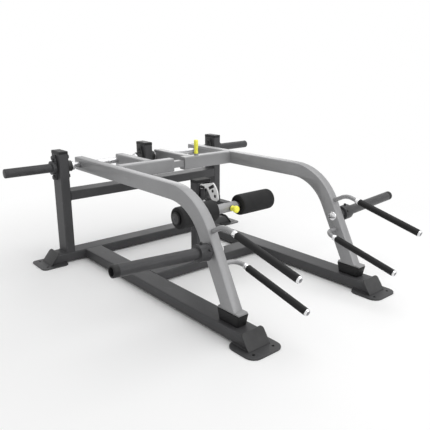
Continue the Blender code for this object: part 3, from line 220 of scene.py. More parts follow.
# Floor plates: four laser-cut steel plates welded under the frame's corners, in
# the same charcoal coat, with two bolt holes each and a dusty, scuffed top. A black
# disc low in each hole is painted shade, for the dark that the hole shows.
# Rings of the black disc in each bolt hole, which paints the shade inside the hole.
HOLE_SHADE_RINGS = ((0.0063, 0.0001), (0.0063, 0.0010), (0.0005, 0.0011))
HOLES = (
    ("left_rear", -0.665, 0.68312), ("left_rear", -0.665, 0.78812),
    ("right_rear", 0.665, 0.68312), ("right_rear", 0.665, 0.78812),
    ("left_front", -0.443, -0.65481), ("left_front", -0.339, -0.65481),
    ("right_front", 0.339, -0.65481), ("right_front", 0.443, -0.65481),
)
UP = (0, 0, 1)
MOULDED_SPECULAR = 0.30
SMOOTH_ANGLE = radians(32)


def moulded(name, dark, light, roughness, texture):
    """Moulded plastic or rubber with a fine texture of that scale and a faint bloom."""
    material, shader, place = new_material(name, 0, roughness, MOULDED_SPECULAR)
    bloom = place.grain(14, 4).mask(0.35, 0.70)
    pits = place.node("TexVoronoi", {}, {"Vector": place, "Scale": texture})
    bloom.tint(dark, light).into(shader, "Base Color")
    (roughness - 0.07 + 0.14 * bloom).into(shader, "Roughness")
    (pits + 0.6 * place.grain(texture * 1.7, 2)).bump(shader, 0.00010)
    return material


def turned(name, rings, foot, along, sides=48):
    """A turned piece, drawn up from a disc through rings of a radius and a height, and
    then stood on its foot in the direction in which it points."""
    bpy.ops.object.select_all(action="DESELECT")
    radius, height = rings[0]
    bpy.ops.mesh.primitive_circle_add(vertices=sides, radius=radius, fill_type="NGON",
                                      location=(0, 0, height))
    piece = bpy.context.object
    piece.name = name
    bpy.ops.object.mode_set(mode="EDIT")
    for wider, higher in rings[1:]:
        bpy.ops.mesh.extrude_region_move(TRANSFORM_OT_translate={"value": (0, 0, higher - height)})
        bpy.ops.transform.resize(value=(wider / radius, wider / radius, 1),
                                 center_override=(0, 0, higher))
        radius, height = wider, higher
    bpy.ops.mesh.select_all(action="SELECT")
    bpy.ops.mesh.normals_make_consistent(inside=False)
    bpy.ops.object.mode_set(mode="OBJECT")
    bpy.ops.object.transform_apply(location=True, rotation=True, scale=True)
    turn = Vector(along).to_track_quat("Z", "Y").to_matrix().to_4x4()
    piece.data.transform(Matrix.Translation(foot) @ turn)
    return piece


def finish(piece, body, material, material_slot, *nodes):
    """Smooths a piece, gives it its finish and its body, and lets it stand for CAD nodes."""
    bpy.ops.object.select_all(action="DESELECT")
    bpy.context.view_layer.objects.active = piece
    piece.select_set(True)
    bpy.ops.object.shade_smooth_by_angle(angle=SMOOTH_ANGLE)
    piece.data.materials.clear()
    piece.data.materials.append(material)
    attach(piece, body)
    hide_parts(*nodes)


foot_coat = powder_coat("charcoal_floor_plate", (0.040, 0.040, 0.042), (0.095, 0.095, 0.097),
                        metallic=0.30, roughness=0.52)
dress(foot_coat, "left_rear_foot", "right_rear_foot", "left_front_foot", "right_front_foot")
rubber = moulded("black_rubber", (0.006, 0.006, 0.0065), (0.014, 0.014, 0.0145),
                 roughness=0.62, texture=700)
# A black disc sunk in each bolt hole: painted shade for the dark inside the hole.
for number, (place_name, hole_x, hole_y) in enumerate(HOLES, 1):
    shade_disc = turned(f"{place_name}_hole_shade_disc_{number}", HOLE_SHADE_RINGS, (hole_x, hole_y, 0), UP, sides=32)
    finish(shade_disc, "frame", rubber, "rubber")


# Frame welds: MIG beads along the joints of the floor frame, its posts and its
# plates, laid before the coat went on, so that only their ripples show under it.
SIDES = (("left", -1), ("right", 1))
BEAD_R = 0.0029
BEAD_SHOULDER_R, BEAD_SHOULDER = 0.0024, 0.0010
BEAD_TIP_R, BEAD_RUN_IN = 0.0010, 0.0030
# Each weld's name, whether the other side has it too, and its two ends.
FRAME_WELDS = (
    ("rear_post", True, (0.5000, 0.6890, 0.0565), (0.5000, 0.7820, 0.0565)),
    ("rear_post_outer", True, (0.5500, 0.6890, 0.0565), (0.5500, 0.7820, 0.0565)),
    ("side_tube_inner", True, (0.3410, 0.6854, 0.0085), (0.3410, 0.6854, 0.0545)),
    ("side_tube_outer", True, (0.4410, 0.6854, 0.0085), (0.4410, 0.6854, 0.0545)),
    ("middle_beam_front", True, (0.3408, 0.1306, 0.0085), (0.3408, 0.1306, 0.0545)),
    ("middle_beam_rear", True, (0.3408, 0.2306, 0.0085), (0.3408, 0.2306, 0.0545)),
    ("upper_beam_top", True, (0.4998, 0.6890, 0.3945), (0.4998, 0.7820, 0.3945)),
    ("upper_beam_under", True, (0.4998, 0.6890, 0.3445), (0.4998, 0.7820, 0.3445)),
    ("centre_post", True, (0.0250, 0.6890, 0.3946), (0.0250, 0.7820, 0.3946)),
    ("roller_post", True, (0.0500, 0.1840, 0.0565), (0.0500, 0.2280, 0.0565)),
    ("roller_post_front", False, (-0.0470, 0.1806, 0.0565), (0.0470, 0.1806, 0.0565)),
    ("roller_bracket", True, (0.0400, 0.1804, 0.3340), (0.0400, 0.1804, 0.4540)),
    ("rear_foot_front", True, (0.5590, 0.6856, 0.0062), (0.6300, 0.6856, 0.0062)),
    ("rear_foot_rear", True, (0.5590, 0.7856, 0.0062), (0.6300, 0.7856, 0.0062)),
    ("front_foot_inner", True, (0.3410, -0.6180, 0.0062), (0.3410, -0.5360, 0.0062)),
    ("front_foot_outer", True, (0.4410, -0.6180, 0.0062), (0.4410, -0.5360, 0.0062)),
)


def weld_coat(name, dark, light, metallic):
    """A coated weld: the coat's colours, and the ripples that the torch left in the bead."""
    material, shader, place = new_material(name, metallic, 0.50, COAT_SPECULAR)
    ripples = place.node("TexWave", {"bands_direction": "DIAGONAL"},
                         {"Vector": place, "Scale": 170, "Distortion": 1.5, "Detail": 1})
    (0.5 * ripples + 0.5 * place.grain(300, 2)).tint(dark, light).into(shader, "Base Color")
    (0.46 + 0.10 * ripples).into(shader, "Roughness")
    ripples.bump(shader, 0.0006)
    return material


def welded(name, body, material, material_slot, start, end):
    """A straight weld bead with rounded ends between two points."""
    along = Vector(end) - Vector(start)
    length = along.length
    rings = ((BEAD_TIP_R, 0), (BEAD_SHOULDER_R, BEAD_SHOULDER), (BEAD_R, BEAD_RUN_IN),
             (BEAD_R, length - BEAD_RUN_IN), (BEAD_SHOULDER_R, length - BEAD_SHOULDER),
             (BEAD_TIP_R, length))
    bead = turned(name + "_weld", rings, start, along, sides=12)
    finish(bead, body, material, material_slot)


charcoal_weld = weld_coat("charcoal_weld", *CHARCOAL)
for name, on_both_sides, start, end in FRAME_WELDS:
    for side, sign in SIDES if on_both_sides else SIDES[:1]:
        welded(f"{side}_{name}", "frame", charcoal_weld, "frame_paint",
               (sign * start[0], *start[1:]), (sign * end[0], *end[1:]))


# Tube caps: moulded plastic plugs pressed into the tops of the posts and into the
# slanted tube ends, where they stand up past the tube with two rounded corners.
# They show the fine spark texture of their mould.
CAP_WIDE = 0.116
CAP_THICK = 0.008
CAP_BOTTOM = 0.0063
CAP_HIGH = 0.060
CAP_CORNER = 0.012
CAP_RIM = 0.0022
CAP_GAP = 0.0003
TUBE_MIDDLE_Z = 0.0313
# For each slanted end on the right: its name, its slant as run over rise, the ways
# across the cap and out of the tube, and the place of the end at half its height.
SLANTED_ENDS = (
    ("beam", 0.81, (0, 1, 0), (1, 0, 0), (0.6195, 0.7356, 0)),
    ("side_tube", 0.70, (1, 0, 0), (0, -1, 0), (0.391, -0.6098, 0)),
)


def rounded_block(name, size, corner, chosen):
    """A block of that size with corners rounded on the edges whose two ends pass the test."""
    bpy.ops.object.select_all(action="DESELECT")
    bpy.ops.mesh.primitive_cube_add(size=1, scale=size)
    block = bpy.context.object
    block.name = name
    bpy.ops.object.transform_apply(location=False, rotation=False, scale=True)
    bpy.ops.object.mode_set(mode="EDIT")
    bpy.ops.mesh.select_mode(type="EDGE")
    bpy.ops.mesh.select_all(action="DESELECT")
    bpy.ops.object.mode_set(mode="OBJECT")
    for edge in block.data.edges:
        edge.select = chosen(*(block.data.vertices[tip].co for tip in edge.vertices))
    bpy.ops.object.mode_set(mode="EDIT")
    bpy.ops.mesh.bevel(offset=corner, segments=5)
    bpy.ops.object.mode_set(mode="OBJECT")
    return block


def at_upper_corner(first, second):
    """Whether the edge between these two ends is an upper corner of a slanted cap."""
    return abs(first.y - second.y) > CAP_THICK / 2 and first.z > 0


def break_edges(piece, width, steps, angle):
    """Rounds each edge of the active piece where its faces meet at more than that angle."""
    bevel = piece.modifiers.new("broken_edges", "BEVEL")
    bevel.width = width
    bevel.segments = steps
    bevel.limit_method = "ANGLE"
    bevel.angle_limit = radians(angle)
    bpy.ops.object.modifier_apply(modifier=bevel.name)


def smoothed(name, node, body, material, material_slot, edge=0.0007):
    """A copy of a CAD node in its place, with its edges broken and its round faces smooth."""
    piece = bpy.data.objects.new(name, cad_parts[node].data.copy())
    bpy.context.scene.collection.objects.link(piece)
    bpy.ops.object.select_all(action="DESELECT")
    bpy.context.view_layer.objects.active = piece
    piece.select_set(True)
    bpy.ops.object.mode_set(mode="EDIT")
    bpy.ops.mesh.select_all(action="SELECT")
    bpy.ops.mesh.remove_doubles(threshold=0.00002)
    bpy.ops.mesh.dissolve_limited(angle_limit=radians(0.5))
    bpy.ops.object.mode_set(mode="OBJECT")
    break_edges(piece, edge, steps=2, angle=35)
    finish(piece, body, material, material_slot, node)


cap_plastic = moulded("cap_plastic", (0.009, 0.009, 0.0095), (0.019, 0.019, 0.020),
                      roughness=0.55, texture=900)
dress(cap_plastic, "left_post_cap", "right_post_cap", "centre_post_cap", "roller_post_cap")
end_plastic = moulded("end_cap_plastic", (0.034, 0.034, 0.035), (0.060, 0.060, 0.061),
                      roughness=0.52, texture=900)
for side, sign in SIDES:
    for place_name, slant, across, outward, end in SLANTED_ENDS:
        cap = rounded_block(f"{side}_{place_name}_end_cap", (CAP_WIDE, CAP_THICK, CAP_HIGH),
                            CAP_CORNER, at_upper_corner)
        break_edges(cap, CAP_RIM, steps=3, angle=50)
        outward = Vector((sign * outward[0], *outward[1:]))
        foot = Vector((sign * end[0], *end[1:])) + outward * (slant * TUBE_MIDDLE_Z)
        middle = Vector((0, CAP_THICK / 2 + CAP_GAP, CAP_BOTTOM + CAP_HIGH / 2))
        sheared = Matrix((across, outward, Vector(UP) - outward * slant)).transposed().to_4x4()
        cap.data.transform(Matrix.Translation(foot) @ sheared @ Matrix.Translation(middle))
        bpy.ops.object.mode_set(mode="EDIT")
        bpy.ops.mesh.select_all(action="SELECT")
        bpy.ops.mesh.normals_make_consistent(inside=False)
        bpy.ops.object.mode_set(mode="OBJECT")
        finish(cap, "frame", end_plastic, "cap_plastic", f"{side}_{place_name}_cap")


# Bearings: four cast two-bolt flanged housings, painted black and bolted to the
# posts, with turned bosses round the pivot shafts.
cast_iron = powder_coat("black_cast_iron", (0.021, 0.021, 0.0215), (0.050, 0.050, 0.051),
                        metallic=0.10, roughness=0.50)
for place_name in ("left_outer", "left_inner", "right_inner", "right_outer"):
    smoothed(place_name + "_bearing_housing", place_name + "_bearing", "frame", cast_iron,
             "frame_paint")


# Storage horns: steel tubes with a welded stop collar and closed end, bolted to
# the outside of the rear posts. Spare plates slide on them and scuff their coat.
def rubbed_coat(name, dark, light, metallic, roughness):
    """The charcoal coat with scuffs along the horn where plates slid on and off."""
    material, shader, place = new_material(name, metallic, roughness, COAT_SPECULAR)
    scuffs = place.scaled(0.15, 1, 1).grain(140, 4).mask(0.50, 0.80)
    clouds = place.grain(12, 3).mask(0.3, 0.7)
    flake = place.grain(FLAKE_SCALE, 1).mask(0.35, 0.65)
    (0.35 * scuffs + 0.35 * clouds + 0.3 * flake).tint(dark, light).into(shader, "Base Color")
    (roughness - 0.04 + 0.10 * clouds - 0.10 * scuffs).into(shader, "Roughness")
    (place.grain(PEEL_SCALE, 2) + 0.4 * scuffs).bump(shader, 0.00005)
    return material


horn_coat = rubbed_coat("horn_coat", (0.036, 0.036, 0.038), (0.070, 0.070, 0.073),
                        metallic=0.20, roughness=0.46)
for side, sign in SIDES:
    smoothed(side + "_storage_horn_tube", side + "_storage_horn", "frame", horn_coat, "frame_paint")


# Bumpers: moulded rubber blocks on the side tubes that the arms' feet land on,
# smooth from the mould with a little dust.
for side, sign in SIDES:
    smoothed(side + "_rubber_bumper", side + "_bumper", "frame", rubber, "rubber", edge=0.002)


# Lever arms: 50 by 70 mm steel tube bent once over a mandrel, with an inner rail
# and a cross tube welded on near the pivot, powder coated in silver grey over the
# weld beads in their corners.
SILVER = (0.27, 0.27, 0.275), (0.37, 0.37, 0.375), 0.25
ARM_WELD_LOW = 0.4915
ARM_WELD_HIGH = 0.5545
ARM_WELDS = (
    ("left", "cross_tube_front", -0.3658, 0.3856), ("left", "cross_tube_rear", -0.3658, 0.4356),
    ("left", "inner_rail_outer", -0.1910, 0.4358), ("left", "inner_rail_inner", -0.1410, 0.4358),
    ("right", "cross_tube_front", 0.3658, 0.3856), ("right", "cross_tube_rear", 0.3658, 0.4356),
    ("right", "inner_rail_inner", 0.0700, 0.4358), ("right", "inner_rail_outer", 0.1200, 0.4358),
)
silver = powder_coat("silver_powder_coat", *SILVER, roughness=0.42)
for side, sign in SIDES:
    smoothed(side + "_arm_tube", side + "_arm_rail", side + "_arm", silver, "arm_paint")
dress(silver, "left_inner_rail", "right_inner_rail", "left_cross_tube", "right_cross_tube")
silver_weld = weld_coat("silver_weld", *SILVER)
for side, name, bead_x, bead_y in ARM_WELDS:
    welded(f"{side}_{name}", side + "_arm", silver_weld, "arm_paint",
           (bead_x, bead_y, ARM_WELD_LOW), (bead_x, bead_y, ARM_WELD_HIGH))


# Pivot shafts: turned steel bars through each arm into its two bearings, bright
# zinc with the fine rings that the lathe left.
def bright_steel(name, colour, roughness):
    """Turned or drawn metal with fine rings round X and faint finger marks."""
    material, shader, place = new_material(name, 1, roughness)
    rings = place.scaled(1, 0.02, 0.02).grain(2600, 2).mask(0.3, 0.7)
    marks = place.grain(45, 3).mask(0.45, 0.75)
    dull = tuple(level * 0.82 for level in colour)
    (0.5 * rings + 0.5 * marks).tint(colour, dull).into(shader, "Base Color")
    (roughness + 0.08 * rings + 0.12 * marks).into(shader, "Roughness")
    rings.bump(shader, 0.00002)
    return material


zinc = bright_steel("bright_zinc", (0.66, 0.66, 0.67), roughness=0.28)
for side, sign in SIDES:
    smoothed(side + "_pivot_bar", side + "_pivot_shaft", side + "_arm", zinc, "zinc")


# Load horns: steel tubes in a long collar on the outside of each leg, tilted up a
# little, with two screws in the collar and a moulded cap with a deep round recess
# in the end. On the leg's inner side a chromed cap covers the horn's fixing bolt.
HORN_LEVEL = (-0.37137, 0.32941)
COVER_FOOT_X = 0.3659
HORN_ROOT_X = 0.4163
HORN_TILT = radians(3.5)
SCREW_FOOT_R = 0.0355
# Each collar screw's name, place along the horn, lean to the front and raised foot.
COLLAR_SCREWS = (("top", 0.047, 0, 0.0020), ("front", 0.027, radians(62), 0))
COLLAR_SCREW_RINGS = ((0.0042, -0.0040), (0.0042, 0), (0.0064, 0.0001), (0.0064, 0.0058),
                      (0.0056, 0.0068), (0.0005, 0.0070))
COVER_RINGS = ((0.0225, 0), (0.0225, 0.0026), (0.0219, 0.0042), (0.0206, 0.0054),
               (0.0180, 0.0062), (0.0140, 0.0068), (0.0080, 0.0072), (0.0005, 0.0073))
chrome = bright_steel("chrome", (0.86, 0.86, 0.87), roughness=0.10)
for side, sign in SIDES:
    body = side + "_arm"
    smoothed(side + "_load_horn_tube", side + "_load_horn", body, horn_coat, "frame_paint")
    smoothed(side + "_load_horn_cap", side + "_horn_end_cap", body, cap_plastic, "cap_plastic")
    cover = turned(side + "_horn_bolt_cover", COVER_RINGS, (sign * COVER_FOOT_X, *HORN_LEVEL),
                   (-sign, 0, 0))
    finish(cover, body, chrome, "zinc")
    root = Vector((sign * HORN_ROOT_X, *HORN_LEVEL))
    along = Vector((sign * cos(HORN_TILT), 0, sin(HORN_TILT)))
    for name, distance, lean, raised in COLLAR_SCREWS:
        outward = Vector((-sign * sin(HORN_TILT) * cos(lean), -sin(lean), cos(HORN_TILT) * cos(lean)))
        foot = root + along * distance + outward * (SCREW_FOOT_R + raised)
        collar_screw = turned(f"{side}_horn_collar_{name}_screw", COLLAR_SCREW_RINGS, foot, outward,
                              sides=6)
        finish(collar_screw, body, cast_iron, "frame_paint")


# Handles: 20 mm steel rods, bent once and welded to the leg, the upper one on its
# front and the lower one on its inner side, powder coated like the arms.
HANDLE_TILT = radians(14.2)
HANDLE_ALONG = Vector((0, -cos(HANDLE_TILT), -sin(HANDLE_TILT)))
LEG_FRONT = Vector((0, -0.88295, 0.46947))
ROD_R = 0.010
COLLAR_LENGTH = 0.018
GRIP_LENGTH = 0.320
# Each handle's name, root on the leg, direction out of the leg, length that way,
# radius of its bend, and the distance from its corner to its collar.
HANDLES = (
    ("left_upper", Vector((-0.391, -0.36029, 0.40394)), LEG_FRONT, 0.0755, 0.085, 0.0567),
    ("right_upper", Vector((0.391, -0.36029, 0.40394)), LEG_FRONT, 0.0755, 0.085, 0.0567),
    ("left_lower", Vector((-0.3657, -0.39296, 0.26728)), Vector((1, 0, 0)), 0.0772, 0.045, 0.048),
    ("right_lower", Vector((0.3657, -0.39296, 0.26728)), Vector((-1, 0, 0)), 0.0772, 0.045, 0.048),
)


def bent_rod(name, root, stem, stem_length, bend_radius, straight):
    """A round rod drawn out along its stem, spun round its bend and drawn out again."""
    bpy.ops.object.select_all(action="DESELECT")
    angle = stem.angle(HANDLE_ALONG)
    setback = bend_radius * tan(angle / 2)
    side_way = stem.cross(HANDLE_ALONG).normalized()
    turn = stem.to_track_quat("Z", "Y").to_euler()
    bpy.ops.mesh.primitive_circle_add(vertices=32, radius=ROD_R, fill_type="NGON",
                                      location=root, rotation=turn)
    rod = bpy.context.object
    rod.name = name
    bpy.ops.object.mode_set(mode="EDIT")
    bpy.ops.mesh.extrude_region_move(
        TRANSFORM_OT_translate={"value": stem * (stem_length - setback)})
    centre = root + stem * (stem_length - setback) + side_way.cross(stem) * bend_radius
    bpy.ops.mesh.spin(steps=16, angle=-angle, center=centre, axis=side_way)
    bpy.ops.mesh.extrude_region_move(
        TRANSFORM_OT_translate={"value": HANDLE_ALONG * (straight - setback)})
    bpy.ops.mesh.select_all(action="SELECT")
    bpy.ops.mesh.remove_doubles(threshold=0.00001)
    bpy.ops.mesh.normals_make_consistent(inside=False)
    bpy.ops.object.mode_set(mode="OBJECT")
    bpy.ops.object.transform_apply(location=True, rotation=True, scale=True)
    return rod


for name, root, stem, stem_length, bend_radius, collar_start in HANDLES:
    body = name.split("_")[0] + "_arm"
    rod_length = collar_start + COLLAR_LENGTH + GRIP_LENGTH
    rod = bent_rod(name + "_rod", root, stem, stem_length, bend_radius, rod_length)
    finish(rod, body, silver, "arm_paint", name + "_handle")


# Handle fittings: a chromed collar at the start of each grip and
# a flanged chrome cap on the far end of the rod, held by a dull socket screw.
COLLAR_RINGS = ((0.0112, 0), (0.0128, 0.0006), (0.0135, 0.0022), (0.0135, 0.0076),
                (0.0131, 0.0080), (0.0131, 0.0100), (0.0135, 0.0104), (0.0135, 0.0158),
                (0.0128, 0.0174), (0.0112, 0.0180))
CAP_RINGS = ((0.0140, 0.0003), (0.0153, 0.0006), (0.0158, 0.0014), (0.0153, 0.0022),
             (0.0140, 0.0027), (0.0138, 0.0048), (0.0132, 0.0068), (0.0122, 0.0080),
             (0.0098, 0.0082), (0.0092, 0.0078), (0.0090, 0.0040), (0.0005, 0.0040))
SOCKET_RINGS = ((0.0076, 0.0036), (0.0084, 0.0040), (0.0084, 0.0064), (0.0076, 0.0072),
                (0.0042, 0.0073), (0.0037, 0.0069), (0.0036, 0.0050), (0.0005, 0.0050))
dark_zinc = bright_steel("dark_zinc", (0.34, 0.34, 0.35), roughness=0.34)
for name, root, stem, stem_length, bend_radius, collar_start in HANDLES:
    body = name.split("_")[0] + "_arm"
    corner = root + stem * stem_length
    collar_foot = corner + HANDLE_ALONG * collar_start
    rod_end = corner + HANDLE_ALONG * (collar_start + COLLAR_LENGTH + GRIP_LENGTH)
    collar = turned(name + "_collar", COLLAR_RINGS, collar_foot, HANDLE_ALONG)
    finish(collar, body, chrome, "zinc", name + "_handle")
    cap = turned(name + "_end_cap", CAP_RINGS, rod_end, HANDLE_ALONG)
    finish(cap, body, chrome, "zinc", name + "_handle")
    socket_screw = turned(name + "_socket_screw", SOCKET_RINGS, rod_end, HANDLE_ALONG, sides=24)
    finish(socket_screw, body, dark_zinc, "zinc")


# Grips: black rubber sleeves pushed on the rods between collar and cap, with
# rounded ends and a fine pebbled skin that is polished a little by hands.
GRIP_RINGS = ((0.0126, 0.0003), (0.0143, 0.0010), (0.0150, 0.0030), (0.0150, 0.0060),
              (0.0147, 0.0075), (0.0150, 0.0090), (0.0150, 0.3110), (0.0147, 0.3125),
              (0.0150, 0.3140), (0.0150, 0.3170), (0.0143, 0.3190), (0.0126, 0.3197))
grip_rubber = moulded("grip_rubber", (0.004, 0.004, 0.0045), (0.009, 0.009, 0.0095),
                      roughness=0.60, texture=1100)
for name, root, stem, stem_length, bend_radius, collar_start in HANDLES:
    body = name.split("_")[0] + "_arm"
    foot = root + stem * stem_length + HANDLE_ALONG * (collar_start + COLLAR_LENGTH)
    grip = turned(name + "_grip_sleeve", GRIP_RINGS, foot, HANDLE_ALONG)
    finish(grip, body, grip_rubber, "rubber", name + "_grip")


# Link bar: a square steel bar that slides out of the right cross tube into the
# left one to lock the arms together, silver like them. Its pull pin is a zinc rod
# with a long moulded yellow grip.
dress(silver, "link_bar")
PIN_FOOT = (0.1335, 0.41062, 0.5663)
PIN_RINGS = ((0.0100, 0), (0.0112, 0.0010), (0.0120, 0.0060), (0.0108, 0.0120), (0.0104, 0.0200),
             (0.0108, 0.0280), (0.0118, 0.0380), (0.0120, 0.0680), (0.0112, 0.0740),
             (0.0088, 0.0772), (0.0050, 0.0779), (0.0005, 0.0780))
PIN_ROD_RINGS = ((0.0045, -0.0340), (0.0050, -0.0335), (0.0050, 0.0010), (0.0005, 0.0010))


def glossy_plastic(name, colour, deep):
    """Bright moulded plastic with a slight swirl in its colour and a soft gloss."""
    material, shader, place = new_material(name, 0, 0.30)
    swirl = place.grain(60, 3).mask(0.35, 0.70)
    swirl.tint(colour, deep).into(shader, "Base Color")
    (0.26 + 0.14 * place.grain(180, 2)).into(shader, "Roughness")
    place.grain(900, 1).bump(shader, 0.00004)
    return material


yellow = glossy_plastic("yellow_plastic", (1.0, 0.98, 0.12), (0.97, 0.92, 0.06))
pin = turned("link_pin_knob", PIN_RINGS, PIN_FOOT, UP)
finish(pin, "link_pull_pin", yellow, "knob_plastic", "link_pin")
pin_rod = turned("link_pin_rod", PIN_ROD_RINGS, PIN_FOOT, UP, sides=32)
finish(pin_rod, "link_pull_pin", zinc, "zinc", "link_pin")


# Roller bracket: a clevis of folded and welded plate on the roller post, in the
# frame's charcoal, with its pivot bolt through both ears.
smoothed("roller_clevis", "roller_bracket", "frame", charcoal, "frame_paint")
smoothed("roller_pivot_screw", "roller_pivot_bolt", "frame", zinc, "zinc", edge=0.0005)


# Selector plate: laser-cut plate in off-white, bolted to the left ear, with two
# round holes and a slot for the roller arm's stops, each lined with black plastic.
# A black bolt with a big domed head fixes its top.
SELECTOR_X = -0.0316
ROLLER_PIVOT = (0.13562, 0.365)
EYE_PLACE = (-0.0348, 0.15462, 0.444)
EYE_RINGS = ((0.0072, 0), (0.0078, 0.0008), (0.0078, 0.0040), (0.0068, 0.0052), (0.0042, 0.0056),
             (0.0037, 0.0036), (0.0005, 0.0036))
BUSH_DISTANCE = 0.100
BUSH_ANGLES = (29, 46)
BUSH_RINGS = ((0.0070, -0.0042), (0.0078, -0.0038), (0.0078, 0.0036), (0.0070, 0.0042),
              (0.0046, 0.0042), (0.0042, 0.0030), (0.0005, 0.0030))
LINER_THICK = 0.0076
# Each liner's name, its place in front of and above the pivot, its tilt, its length
# and width, and the radius of its corners.
LINERS = (
    ("slot", 0.0600, 0.0905, radians(27), 0.0415, 0.0150, 0.0020),
    ("eye", -0.0080, 0.0790, 0, 0.0300, 0.0125, 0.0060),
)


def at_liner_corner(first, second):
    """Whether the edge between these two ends is a corner of a liner."""
    return abs(first.x - second.x) > LINER_THICK / 2


white = powder_coat("white_powder_coat", (0.88, 0.88, 0.875), (0.96, 0.96, 0.955),
                    metallic=0, roughness=0.40)
smoothed("selector_sector", "selector_plate", "frame", white, "plate_paint")
eye = turned("selector_eye_bolt", EYE_RINGS, EYE_PLACE, (-1, 0, 0), sides=32)
finish(eye, "frame", cast_iron, "frame_paint")
for number, degrees in enumerate(BUSH_ANGLES, 1):
    foot = (SELECTOR_X, ROLLER_PIVOT[0] - BUSH_DISTANCE * cos(radians(degrees)),
            ROLLER_PIVOT[1] + BUSH_DISTANCE * sin(radians(degrees)))
    bush = turned(f"selector_bush_{number}", BUSH_RINGS, foot, (-1, 0, 0), sides=32)
    finish(bush, "frame", cap_plastic, "cap_plastic")
for name, forward, up, tilt, length, width, corner in LINERS:
    liner = rounded_block("selector_" + name + "_liner", (LINER_THICK, length, width), corner,
                          at_liner_corner)
    liner.location = (SELECTOR_X, ROLLER_PIVOT[0] - forward, ROLLER_PIVOT[1] + up)
    liner.rotation_euler.x = -tilt
    bpy.ops.object.transform_apply(location=True, rotation=True, scale=True)
    finish(liner, "frame", cap_plastic, "cap_plastic")


# Roller arm: a short box tube that swings in the clevis, coped round the silver
# sleeve that carries the rollers' shaft.
smoothed("roller_swing_tube", "roller_arm", "roller_swing_arm", charcoal, "frame_paint")
smoothed("roller_cross_sleeve", "roller_sleeve", "roller_swing_arm", silver, "arm_paint")
smoothed("roller_cross_shaft", "roller_shaft", "roller_swing_arm", zinc, "zinc", edge=0.0005)


# Rollers: thick tubes of closed-cell foam with a smooth black skin, pushed on a
# plastic core. The rims are rounded, and each end is dished round its end disc.
ROLLER_Y, ROLLER_Z = -0.01438, 0.365
ROLLER_STARTS = {"left": -0.0978, "right": 0.0603}
ROLLER_RINGS = ((0.0200, 0.0060), (0.0300, 0.0040), (0.0400, 0.0010), (0.0455, 0.0010),
                (0.0500, 0.0035), (0.0519, 0.0080), (0.0523, 0.0140), (0.0525, 0.0300),
                (0.0526, 0.0700), (0.0526, 0.1095), (0.0526, 0.1490), (0.0525, 0.1890),
                (0.0523, 0.2050), (0.0519, 0.2110), (0.0500, 0.2155), (0.0455, 0.2180),
                (0.0400, 0.2180), (0.0300, 0.2150), (0.0200, 0.2130))


def foam_skin(name, dark, light):
    """Closed-cell foam: tiny cells under a skin, slow dents and a dull sheen."""
    material, shader, place = new_material(name, 0, 0.72, MOULDED_SPECULAR)
    cells = place.node("TexVoronoi", {}, {"Vector": place, "Scale": 650})
    dents = place.grain(24, 3)
    dents.mask(0.3, 0.7).tint(dark, light).into(shader, "Base Color")
    (0.62 + 0.22 * dents).into(shader, "Roughness")
    (0.5 * cells + 1.5 * dents).bump(shader, 0.00025)
    return material


foam = foam_skin("foam_skin", (0.010, 0.010, 0.0105), (0.020, 0.020, 0.0205))
for side, sign in SIDES:
    roller = turned(side + "_foam_roller", ROLLER_RINGS, (ROLLER_STARTS[side], ROLLER_Y, ROLLER_Z),
                    (sign, 0, 0), sides=96)
    finish(roller, side + "_roller_pad", foam, "foam", side + "_roller")


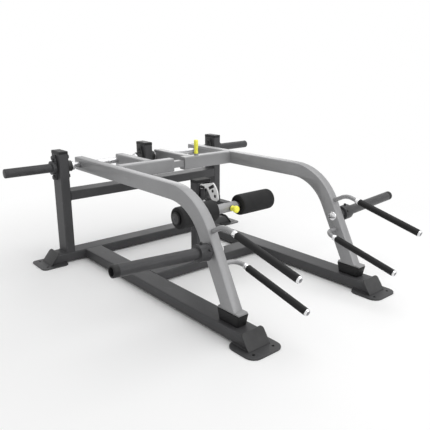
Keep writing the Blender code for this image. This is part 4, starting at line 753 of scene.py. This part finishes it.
# Roller end discs: black moulded discs on the shaft's ends that keep the rollers
# on, each with a grey washer under the wide head of its black screw.
DISC_DISTANCE = 0.2196
DISC_RINGS = ((0.0285, -0.0001), (0.0298, 0.0008), (0.0302, 0.0026), (0.0302, 0.0054),
              (0.0294, 0.0070), (0.0272, 0.0078), (0.0262, 0.0072), (0.0005, 0.0072))
WASHER_RINGS = ((0.0245, 0.0068), (0.0252, 0.0072), (0.0252, 0.0082), (0.0244, 0.0088),
                (0.0005, 0.0088))
SCREW_RINGS = ((0.0112, 0.0086), (0.0118, 0.0090), (0.0118, 0.0104), (0.0104, 0.0112),
               (0.0050, 0.0113), (0.0044, 0.0108), (0.0042, 0.0092), (0.0005, 0.0092))
washer_coat = moulded("grey_washer", (0.060, 0.060, 0.061), (0.095, 0.095, 0.097),
                      roughness=0.50, texture=800)
black_oxide = bright_steel("black_oxide_steel", (0.10, 0.10, 0.105), roughness=0.34)
for side, sign in SIDES:
    foot = (ROLLER_STARTS[side] + sign * DISC_DISTANCE, ROLLER_Y, ROLLER_Z)
    disc = turned(side + "_roller_end_disc", DISC_RINGS, foot, (sign, 0, 0))
    finish(disc, "roller_swing_arm", cap_plastic, "cap_plastic")
    washer = turned(side + "_roller_washer", WASHER_RINGS, foot, (sign, 0, 0))
    finish(washer, "roller_swing_arm", washer_coat, "cap_plastic")
    screw = turned(side + "_roller_screw", SCREW_RINGS, foot, (sign, 0, 0))
    finish(screw, "roller_swing_arm", black_oxide, "zinc")


# Pull knob: yellow moulded plastic on a zinc rod that runs back in the arm and
# holds the roller arm where it is set, through a black nut screwed in the sleeve.
KNOB_FOOT = (0, -0.03868, 0.365)
KNOB_RINGS = ((0.0128, 0.0037), (0.0138, 0.0042), (0.0138, 0.0070), (0.0122, 0.0086),
              (0.0104, 0.0110), (0.0098, 0.0160), (0.0100, 0.0200), (0.0122, 0.0216),
              (0.0156, 0.0230), (0.0174, 0.0258), (0.0180, 0.0300), (0.0178, 0.0345),
              (0.0166, 0.0382), (0.0140, 0.0406), (0.0100, 0.0417), (0.0005, 0.0420))
KNOB_ROD_RINGS = ((0.0045, -0.0500), (0.0050, -0.0495), (0.0050, 0.0060), (0.0005, 0.0060))
NUT_RINGS = ((0.0135, 0), (0.0148, 0.0008), (0.0148, 0.0028), (0.0138, 0.0034), (0.0082, 0.0035),
             (0.0005, 0.0035))
knob = turned("roller_pull_grip", KNOB_RINGS, KNOB_FOOT, (0, -1, 0))
finish(knob, "roller_pull_knob", yellow, "knob_plastic", "roller_knob")
knob_rod = turned("roller_pull_rod", KNOB_ROD_RINGS, KNOB_FOOT, (0, -1, 0), sides=32)
finish(knob_rod, "roller_pull_knob", zinc, "zinc", "roller_knob")
nut = turned("roller_plunger_nut", NUT_RINGS, KNOB_FOOT, (0, -1, 0))
finish(nut, "roller_swing_arm", black_oxide, "zinc")
